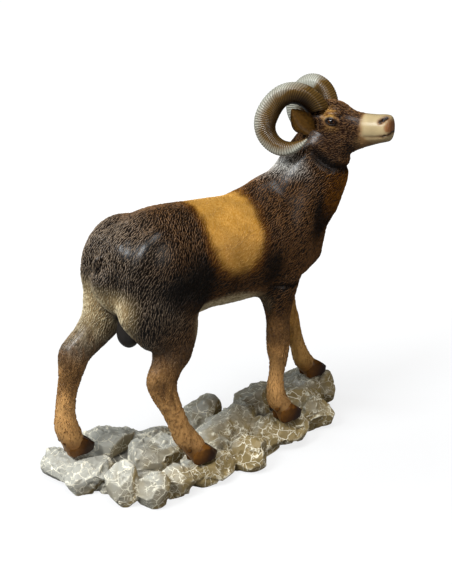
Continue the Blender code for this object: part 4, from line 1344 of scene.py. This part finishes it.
def horn_material():
    """Resin horn: amber brown glaze on its sides, dark wash in the grooves and on its inner side,
    grey beige dry brush on the worn edge, satin."""
    material, shader = new_material("Painted resin horn", 0.40, 0.35)
    use = paints()
    tree = material.node_tree
    place = node(tree, "ShaderNodeTexCoord").outputs["Object"]
    rim, groove, along = (node(tree, "ShaderNodeAttribute", attribute_name=name).outputs["Fac"]
                          for name in ("rim", "groove", "along"))
    # Cloudy glaze about 6 mm across
    cloud = node(tree, "ShaderNodeTexNoise",
                 {"Vector": place, "Scale": 1 / (5.88 * MM), "Detail": 4.0}).outputs["Fac"]
    # The dry brush starts between 9 and 19 mm from the forehead and covers the tip
    grown = node(tree, "ShaderNodeMapRange", {"Value": along, "From Min": 9 * MM, "From Max": 19 * MM,
                                              "To Min": -1.00, "To Max": 0.10}).outputs["Result"]
    tip = node(tree, "ShaderNodeMapRange", {"Value": along, "From Min": 40 * MM, "From Max": 60 * MM,
                                            "To Min": 0.0, "To Max": 0.6}).outputs["Result"]
    grown = node(tree, "ShaderNodeMath", {0: grown, 1: tip}, operation="ADD").outputs[0]
    shift = node(tree, "ShaderNodeMath", {0: cloud, 1: 0.9, 2: rim}, operation="MULTIPLY_ADD").outputs[0]
    shift = node(tree, "ShaderNodeMath", {0: shift, 1: grown}, operation="ADD").outputs[0]
    inner, worn = (node(tree, "ShaderNodeMapRange", {"Value": shift, "From Min": low, "From Max": high})
                   .outputs["Result"] for low, high in ((-0.85, 0.55), (0.45, 1.35)))
    deep = node(tree, "ShaderNodeMath", {0: groove, 1: 0.60}, operation="MULTIPLY").outputs[0]
    colour = (*use.horn_dark, 1)
    for share, layer in ((inner, use.horn_brown), (worn, use.horn_pale), (deep, use.horn_dark)):
        colour = node(tree, "ShaderNodeMix", {"Factor": share, "A": colour, "B": (*layer, 1)},
                      data_type="RGBA").outputs["Result"]
    tree.links.new(colour, shader.inputs["Base Color"])
    # Fine grain of the paint, about 0.45 mm
    grain = node(tree, "ShaderNodeTexNoise",
                 {"Vector": place, "Scale": 1 / (0.455 * MM), "Detail": 2.0}).outputs["Fac"]
    bump = node(tree, "ShaderNodeBump", {"Height": grain, "Strength": 0.4, "Distance": 0.08 * MM})
    tree.links.new(bump.outputs["Normal"], shader.inputs["Normal"])
    return material


class MOUFLON_OT_horns(bpy.types.Operator):
    """Builds both coiled horns with their fine rings"""
    bl_idname = "mouflon.horns"
    bl_label = "Ringed horns"

    def execute(self, context):
        use = sizes()
        material = horn_material()
        tree = ring_tree()
        for side, name in ((-1, "right_horn"), (1, "left_horn")):
            plain = fine_horn(side)
            values = {"Pitch": use.ring_pitch, "Depth": use.ring_depth, "Seed": float(side),
                      "Material": material}
            horn = grown_by(tree, plain, name, values)
            bpy.data.objects.remove(plain)
            finish_piece(horn, name, material)
        return {"FINISHED"}


def fine_ear(side):
    """A cupped leaf that points back and up inside the horn's coil, thin at its rim."""
    root = on_head(-3.5, side * 8.5, 0.5)
    tip = on_head(-12, side * 15.5, 12.7)
    along = (tip - root).normalized()
    outward = (on_head(0.35, side, 0.1) - HEAD_AT).normalized()
    wide = along.cross(outward).normalized()
    rings = []
    shade = []
    leaf = smooth_rows(((0.0, 0.34), (0.18, 0.66), (0.40, 0.98), (0.60, 0.94),
                        (0.80, 0.62), (0.93, 0.28), (1.0, 0.06)), 6)
    for way, width in leaf:
        middle = root + along * way * EAR_LENGTH
        ring = []
        for part in range(40):
            angle = 2 * math.pi * part / 40
            across = math.cos(angle)
            cup = 0.34 * EAR_WIDTH * width * across ** 2
            hollow = 0.12 if math.sin(angle) > 0 else 0.5
            thick = hollow * EAR_THICKNESS * math.sin(angle) * (0.35 + 0.65 * width)
            vein = 0.10 * MM * math.sin(across * 14) * (math.sin(angle) > 0) * width
            ring.append(middle + wide * across * width * EAR_WIDTH / 2 + outward * (cup + thick + vein))
            shade.append(0.75 * (1 - abs(across) ** 2.5) if math.sin(angle) > 0 else 0.3)
        rings.append(ring)
    made = skin("Ear", rings)
    keep(made, "ridge", "FLOAT", np.clip(np.array(shade + [0.3, 0.9]), 0, 1))
    return made


def lid_shape(side, up, thick):
    """One eyelid: a tapered roll along half of an almond on the eyeball."""
    rings = []
    stations = 26
    for station in range(stations + 1):
        way = station / stations
        angle = math.pi * way
        forward = 5.1 + 2.15 * math.cos(angle)
        height = 6.9 + up * 1.30 * math.sin(angle) ** 0.8 - 0.30 * math.cos(angle)
        bulge = 9.85 + 0.50 * math.sin(angle) - 0.20 * abs(math.cos(angle))
        middle = on_head(forward, side * bulge, height)
        radius = thick * (0.45 + 0.55 * math.sin(angle)) * MM
        ring = []
        for part in range(12):
            turn = 2 * math.pi * part / 12
            across = on_head(0, side * math.cos(turn) / MM, math.sin(turn) / MM) - HEAD_AT
            ring.append(middle + across * radius)
        rings.append(ring)
    return skin("Lid", rings)


def eyeball(side):
    """The painted eyeball, with how far each point is from the middle of its gaze."""
    middle = on_head(5.2, side * 8.75, 6.95)
    mesh = bmesh.new()
    bmesh.ops.create_icosphere(mesh, subdivisions=5, radius=1)
    place = Matrix.Translation(middle) @ Matrix.Rotation(HEAD_TURN, 4, "Z")
    place = place @ Matrix.Diagonal((2.05 * MM, 1.65 * MM, 1.45 * MM, 1))
    bmesh.ops.transform(mesh, matrix=place, verts=mesh.verts)
    made = new_object("Eyeball", mesh)
    points, _ = points_of(made)
    local = in_head(points)
    gaze = np.hypot(local[:, 0] - 5.5, local[:, 2] - 7.0)
    keep(made, "gaze", "FLOAT", gaze)
    return made


def eye_material():
    """Hand painted eye under a drop of clear gloss: black pupil, brown iris, dull white corners."""
    material, shader = new_material("Painted gloss eye", 0.12, 1.0)
    shader.inputs["Coat Roughness"].default_value = 0.04
    use = paints()
    tree = material.node_tree
    gaze = node(tree, "ShaderNodeAttribute", attribute_name="gaze").outputs["Fac"]
    share = node(tree, "ShaderNodeMath", {0: gaze, 1: 0.3}, operation="MULTIPLY").outputs[0]
    ramp = node(tree, "ShaderNodeValToRGB", {"Fac": share})
    band = ramp.color_ramp
    band.elements[0].position = 0.20
    band.elements[0].color = (*linear("#050403"), 1)
    band.elements[1].position = 0.30
    band.elements[1].color = (*use.iris, 1)
    for place, colour in ((0.46, (*use.iris, 1)), (0.52, (*linear("#0c0705"), 1)),
                          (0.60, (*linear("#8d8378"), 1)), (0.80, (*linear("#3b2418"), 1))):
        element = band.elements.new(place)
        element.color = colour
    tree.links.new(ramp.outputs["Color"], shader.inputs["Base Color"])
    return material


class MOUFLON_OT_eyes_and_ears(bpy.types.Operator):
    """Builds the eyes with their lids, and the ears"""
    bl_idname = "mouflon.eyes_and_ears"
    bl_label = "Eyes and ears"

    def execute(self, context):
        use = paints()
        skin_paint = coat_material()
        skin_paint.name = "Painted resin skin"
        gloss = eye_material()
        for side, name in ((-1, "right"), (1, "left")):
            finish_piece(eyeball(side), name + "_eyeball", gloss)
            lids = join_meshes("Lids", [lid_shape(side, 1, 0.44), lid_shape(side, -1, 0.30)])
            tint = np.array(linear("#1a0f09"))
            keep_pair(lids, 1.6 * tint, tint)
            finish_piece(lids, name + "_eyelids", skin_paint)
            ear = fine_ear(side)
            keep_pair(ear, use.ear_high, use.ear_low)
            finish_piece(ear, name + "_ear", skin_paint)
        return {"FINISHED"}


class MOUFLON_OT_hooves(bpy.types.Operator):
    """Builds the cloven hooves and dewclaws"""
    bl_idname = "mouflon.hooves"
    bl_label = "Hooves"

    def execute(self, context):
        use = paints()
        material = coat_material()
        material.name = "Painted resin hoof"
        for name, foot in FEET.items():
            claws = fuse("Claws", hoof(foot), HOOF_VOXEL, 2)
            points, normals = points_of(claws)
            # Lighter in patches on the surfaces that face up
            worn = step(ripple(points, 3.5, 31), -0.5, 0.9) * step(normals[:, 2], -0.2, 0.9)
            keep(claws, "ridge", "FLOAT", worn)
            # Brown at the crown and nearly black at the toe
            toe = step(points[:, 0] - foot.x / MM - 0.5 * (points[:, 2] - foot.z / MM), -6.0, 3.0)[:, None]
            dark = np.array(use.hoof_low)
            keep(claws, "high", "FLOAT_COLOR", np.array(use.hoof_high) * (1 - toe) + dark * 1.6 * toe)
            keep(claws, "low", "FLOAT_COLOR", np.array(use.hoof_high) * 0.5 * (1 - toe) + dark * toe)
            finish_piece(claws, name + "_hoof", material)
        return {"FINISHED"}


def dress_flats(points, normals, edges, spacing, depth, draw):
    """Cuts flats about as far apart as the spacing, in millimetres. Returns the new points and a
    random tint for each flat."""
    soft_normals = eased(normals, edges, 12)
    soft_normals /= np.maximum(np.linalg.norm(soft_normals, axis=1), 1e-6)[:, None]
    tint = np.full(len(points), 0.5)
    order = draw.permutation(np.flatnonzero(points[:, 2] > 1.0))
    taken = np.zeros(len(points), bool)
    for index in order:
        if taken[index]:
            continue
        away = points - points[index]
        gap = np.linalg.norm(away, axis=1)
        taken |= gap < spacing * draw.uniform(0.55, 1.15)
        facing = soft_normals[index] + draw.normal(0, 0.22, 3)
        facing /= np.linalg.norm(facing)
        reach = spacing * draw.uniform(0.8, 1.5)
        deep = depth * draw.uniform(0.25, 1.0)
        near = (gap < reach) & (normals @ facing > 0.35)
        height = away[near] @ facing + deep
        over = np.maximum(height, 0) * (1 - step(gap[near], 0.75 * reach, reach))
        over *= 1 - step(height, 1.0, 1.8)
        points[near] -= over[:, None] * facing
        hit = np.flatnonzero(near)[over > 0.08]
        tint[hit] = draw.uniform(0, 1)
    return points, tint


def dress_rocks(made):
    """Dresses large and small flats into the rocks, and marks their tints, edges and hollows, the hollows for
    painted shade.
    """
    use = sizes()
    draw = np.random.default_rng(use.seed)
    points, normals = points_of(made)
    edges = edges_of(made)
    spacing = use.facet_spacing / MM
    depth = use.facet_depth / MM
    points, tint = dress_flats(points, normals, edges, spacing, depth, draw)
    # The tops are chiselled finer than the worn sides
    small, _ = dress_flats(points.copy(), normals, edges, 0.5 * spacing, 0.10 * depth, draw)
    points = points + (small - points) * step(normals[:, 2], 0.15, 0.55)[:, None]
    fine = eased(points, edges, 3)
    broad = eased(points, edges, 60)
    sharp = np.sum((points - fine) * normals, axis=1)
    proud = np.sum((fine - broad) * normals, axis=1)
    rough = 0.04 * ripple(points, 3.0, 41) + 0.02 * ripple(points, 1.5, 42)
    points = points + normals * np.minimum(rough, 0.04)[:, None]
    move_points(made, points)
    keep(made, "edge", "FLOAT", step(eased(sharp[:, None], edges, 1)[:, 0], 0.09, 0.24))
    # The hollows are marked for a dark wash with painted shade
    keep(made, "hollow", "FLOAT", step(-proud, 0.25, 1.6))
    # The ochre wash is heavier toward the front of the base and on the right-hand rocks by the hind feet; on
    # the sides that face right and down it is painted shade
    side = step(normals @ (0.75, -0.20, -0.60), -0.30, 0.55)
    tint = 0.30 * eased(tint[:, None], edges, 1)[:, 0] + 0.42 * side + 0.40 * step(points[:, 0], -55, 30)
    tint += 0.42 * step(-points[:, 1], 12, 26) * step(points[:, 0], -62, -40)
    # The rocks at the back are kept greyer, a painted lift of light against the shade that falls on them
    tint -= 0.25 * step(points[:, 1], -4, 14)
    keep(made, "tint", "FLOAT", tint)


def rock_material():
    """Cast resin rock: grey base coat, ochre and umber washes, dark wash with painted shade in the hollows,
    painted shade on the sides that face right and down, cream dry brush, satin lacquer.
    """
    material, shader = new_material("Painted resin rock", 0.50, 0.22)
    use = paints()
    tree = material.node_tree
    place = node(tree, "ShaderNodeTexCoord").outputs["Object"]
    edge, hollow, tint = (node(tree, "ShaderNodeAttribute", attribute_name=name).outputs["Fac"]
                          for name in ("edge", "hollow", "tint"))
    # Washes that pool about 14 mm across
    pool = node(tree, "ShaderNodeTexNoise",
                {"Vector": place, "Scale": 1 / (14.3 * MM), "Detail": 3.0}).outputs["Fac"]
    stain = node(tree, "ShaderNodeMath", {0: pool, 1: 0.8, 2: tint}, operation="MULTIPLY_ADD").outputs[0]
    stain = node(tree, "ShaderNodeMapRange", {"Value": stain, "From Min": 0.50, "From Max": 0.98})
    # Dark wash with painted shade in the hollows
    deep = node(tree, "ShaderNodeMath", {0: hollow, 1: 0.60}, operation="MULTIPLY").outputs[0]
    # Two nets of raised cream lines, about 6 mm and 2.5 mm apart, broken where the brush missed
    bent = node(tree, "ShaderNodeTexNoise",
                {"Vector": place, "Scale": 1 / (3.85 * MM), "Detail": 2.0}).outputs["Color"]
    bent = node(tree, "ShaderNodeVectorMath", {0: bent, "Scale": 3.2 * MM}, operation="SCALE").outputs[0]
    bent = node(tree, "ShaderNodeVectorMath", {0: place, 1: bent}, operation="ADD").outputs[0]
    lines = []
    for apart, thin, start in ((5.88 * MM, 0.035, 0.40), (2.5 * MM, 0.060, 0.52)):
        net = node(tree, "ShaderNodeTexVoronoi", {"Vector": bent, "Scale": 1 / apart},
                   feature="DISTANCE_TO_EDGE").outputs["Distance"]
        fine = node(tree, "ShaderNodeMapRange", {"Value": net, "From Min": 0.3 * thin, "From Max": thin,
                                                 "To Min": 1.0, "To Max": 0.0}).outputs["Result"]
        miss = node(tree, "ShaderNodeTexNoise", {"Vector": place, "Scale": 0.6 / apart, "Detail": 2.0})
        miss = node(tree, "ShaderNodeMapRange", {"Value": miss.outputs["Fac"], "From Min": start,
                                                 "From Max": start + 0.10}).outputs["Result"]
        lines.append(node(tree, "ShaderNodeMath", {0: fine, 1: miss}, operation="MULTIPLY").outputs[0])
    line = node(tree, "ShaderNodeMath", {0: lines[0], 1: lines[1]}, operation="MAXIMUM").outputs[0]
    brush = node(tree, "ShaderNodeMath", {0: line, 1: edge}, operation="MAXIMUM").outputs[0]
    brush = node(tree, "ShaderNodeMath", {0: brush, 1: 0.85}, operation="MULTIPLY").outputs[0]
    colour = (*use.rock_grey, 1)
    for share, layer in ((stain.outputs["Result"], use.rock_ochre), (deep, use.rock_crevice_wash_and_shade),
                         (brush, use.rock_pale)):
        colour = node(tree, "ShaderNodeMix", {"Factor": share, "A": colour, "B": (*layer, 1)},
                      data_type="RGBA").outputs["Result"]
    tree.links.new(colour, shader.inputs["Base Color"])
    # Grain about 0.7 mm, under the raised lines
    grain = node(tree, "ShaderNodeTexNoise",
                 {"Vector": place, "Scale": 1 / (0.667 * MM), "Detail": 3.0}).outputs["Fac"]
    high = node(tree, "ShaderNodeMath", {0: line, 1: 1.2, 2: grain}, operation="MULTIPLY_ADD").outputs[0]
    bump = node(tree, "ShaderNodeBump", {"Height": high, "Strength": 0.6, "Distance": 0.16 * MM})
    tree.links.new(bump.outputs["Normal"], shader.inputs["Normal"])
    return material


class MOUFLON_OT_rocks(bpy.types.Operator):
    """Builds the bed of boulders with its dressed flats"""
    bl_idname = "mouflon.rocks"
    bl_label = "Rocks"

    def execute(self, context):
        bed = fuse("Bed", [plinth(), *boulders()], ROCK_VOXEL, 1)
        mesh = bmesh.new()
        mesh.from_mesh(bed.data)
        everything = [*mesh.verts, *mesh.edges, *mesh.faces]
        bmesh.ops.bisect_plane(mesh, geom=everything, plane_co=(0, 0, 0), plane_no=(0, 0, -1),
                               clear_outer=True)
        border = [edge for edge in mesh.edges if edge.is_boundary]
        bmesh.ops.holes_fill(mesh, edges=border)
        bmesh.ops.recalc_face_normals(mesh, faces=mesh.faces)
        mesh.to_mesh(bed.data)
        mesh.free()
        dress_rocks(bed)
        finish_piece(bed, "rocks", rock_material())
        return {"FINISHED"}


def aim(made, target, azimuth, elevation, distance):
    """Stands a light or camera off the target, turned to it. Both angles are in degrees, the first
    round the figure from the front, the second up."""
    turn = math.radians(azimuth)
    rise = math.radians(elevation)
    way = Vector((math.sin(turn) * math.cos(rise), -math.cos(turn) * math.cos(rise), math.sin(rise)))
    made.location = target + way * distance
    made.rotation_mode = "QUATERNION"
    made.rotation_quaternion = (-way).to_track_quat("-Z", "Y")


def softbox(name, azimuth, elevation, distance, size, power, colour):
    """A square softbox that shines at the figure from a direction seen from the front."""
    light = bpy.data.lights.new(name, "AREA")
    light.shape = "SQUARE"
    light.size = size
    light.energy = power
    light.color = colour
    made = bpy.data.objects.new(name, light)
    bpy.context.scene.collection.objects.link(made)
    aim(made, LIGHT_TARGET, azimuth, elevation, distance)


class MOUFLON_OT_stage(bpy.types.Operator):
    """Builds the pale floor, the studio light and the camera"""
    bl_idname = "mouflon.stage"
    bl_label = "Stage, light and camera"

    def execute(self, context):
        bpy.ops.mesh.primitive_plane_add(size=6, location=(0, 0, 0))
        floor = context.object
        floor.name = "floor"
        material = bpy.data.materials.new("Pale floor")
        material.use_nodes = True
        tree = material.node_tree
        shader = tree.nodes["Principled BSDF"]
        shader.inputs["Base Color"].default_value = (*paints().floor, 1)
        shader.inputs["Roughness"].default_value = 0.9
        shader.inputs["Specular IOR Level"].default_value = 0.1
        seen = node(tree, "ShaderNodeLightPath").outputs["Is Camera Ray"]
        # The floor is lifted to white for the camera alone, fully so away from the figure's shadow
        place = node(tree, "ShaderNodeTexCoord").outputs["Object"]
        away = node(tree, "ShaderNodeVectorMath", {0: place}, operation="LENGTH").outputs["Value"]
        away = node(tree, "ShaderNodeMapRange", {"Value": away, "From Min": 0.10, "From Max": 0.45,
                                                 "To Min": 0.80, "To Max": 1.0}).outputs["Result"]
        glow = node(tree, "ShaderNodeMath", {0: seen, 1: away}, operation="MULTIPLY").outputs[0]
        shader.inputs["Emission Color"].default_value = (1, 1, 1, 1)
        tree.links.new(glow, shader.inputs["Emission Strength"])
        floor.data.materials.append(material)

        world = bpy.data.worlds.new("Studio")
        context.scene.world = world
        world.use_nodes = True
        tree = world.node_tree
        background = tree.nodes["Background"]
        background.inputs["Color"].default_value = (0.97, 0.985, 1.0, 1)
        path = node(tree, "ShaderNodeLightPath").outputs
        level = node(tree, "ShaderNodeMath", {0: path["Is Glossy Ray"], 1: -0.10, 2: 0.13},
                     operation="MULTIPLY_ADD")
        level = node(tree, "ShaderNodeMath", {0: path["Is Camera Ray"], 1: 0.85, 2: level.outputs[0]},
                     operation="MULTIPLY_ADD").outputs[0]
        tree.links.new(level, background.inputs["Strength"])

        softbox("Key softbox", -78, 44, 0.9, 0.30, 9.7, (0.94, 0.975, 1.0))
        softbox("Top softbox", -25, 74, 0.9, 0.35, 4.6, (0.97, 0.99, 1.0))
        softbox("Window softbox", -118, 36, 0.8, 0.20, 2.2, (0.80, 0.90, 1.0))
        softbox("Fill softbox", 10, 22, 1.1, 0.5, 2.9, (1.0, 0.97, 0.93))

        lens = bpy.data.cameras.new("Camera")
        lens.sensor_fit = "VERTICAL"
        lens.sensor_height = SENSOR_HEIGHT
        lens.lens = SENSOR_HEIGHT * PHOTO_FOCAL_LENGTH / PHOTO_HEIGHT
        camera = bpy.data.objects.new("Camera", lens)
        context.scene.collection.objects.link(camera)
        aim(camera, CAMERA_TARGET, CAMERA_AZIMUTH, CAMERA_ELEVATION, sizes().camera_distance)
        lens.clip_start = 0.01
        lens.clip_end = 20
        context.scene.camera = camera
        context.scene.view_settings.view_transform = "Standard"
        return {"FINISHED"}


class MOUFLON_PT_sidebar(bpy.types.Panel):
    """Lists the pieces of the figure"""
    bl_idname = "MOUFLON_PT_sidebar"
    bl_label = "Mouflon figure"
    bl_space_type = "VIEW_3D"
    bl_region_type = "UI"
    bl_category = "Mouflon"

    def draw(self, context):
        column = self.layout.column()
        for operator in OPERATORS:
            column.operator(operator.bl_idname)


OPERATORS = (MOUFLON_OT_coat, MOUFLON_OT_horns, MOUFLON_OT_eyes_and_ears, MOUFLON_OT_hooves,
             MOUFLON_OT_rocks, MOUFLON_OT_stage)
CLASSES = (MouflonSizes, MouflonPaints, *OPERATORS, MOUFLON_PT_sidebar)


def register():
    for each in CLASSES:
        bpy.utils.register_class(each)
    bpy.types.Scene.mouflon_sizes = PointerProperty(type=MouflonSizes)
    bpy.types.Scene.mouflon_paints = PointerProperty(type=MouflonPaints)


def unregister():
    del bpy.types.Scene.mouflon_paints
    del bpy.types.Scene.mouflon_sizes
    for each in reversed(CLASSES):
        bpy.utils.unregister_class(each)


def main():
    register()
    bpy.ops.mouflon.coat()
    bpy.ops.mouflon.horns()
    bpy.ops.mouflon.eyes_and_ears()
    bpy.ops.mouflon.hooves()
    bpy.ops.mouflon.rocks()
    bpy.ops.mouflon.stage()


if __name__ == "__main__":
    main()
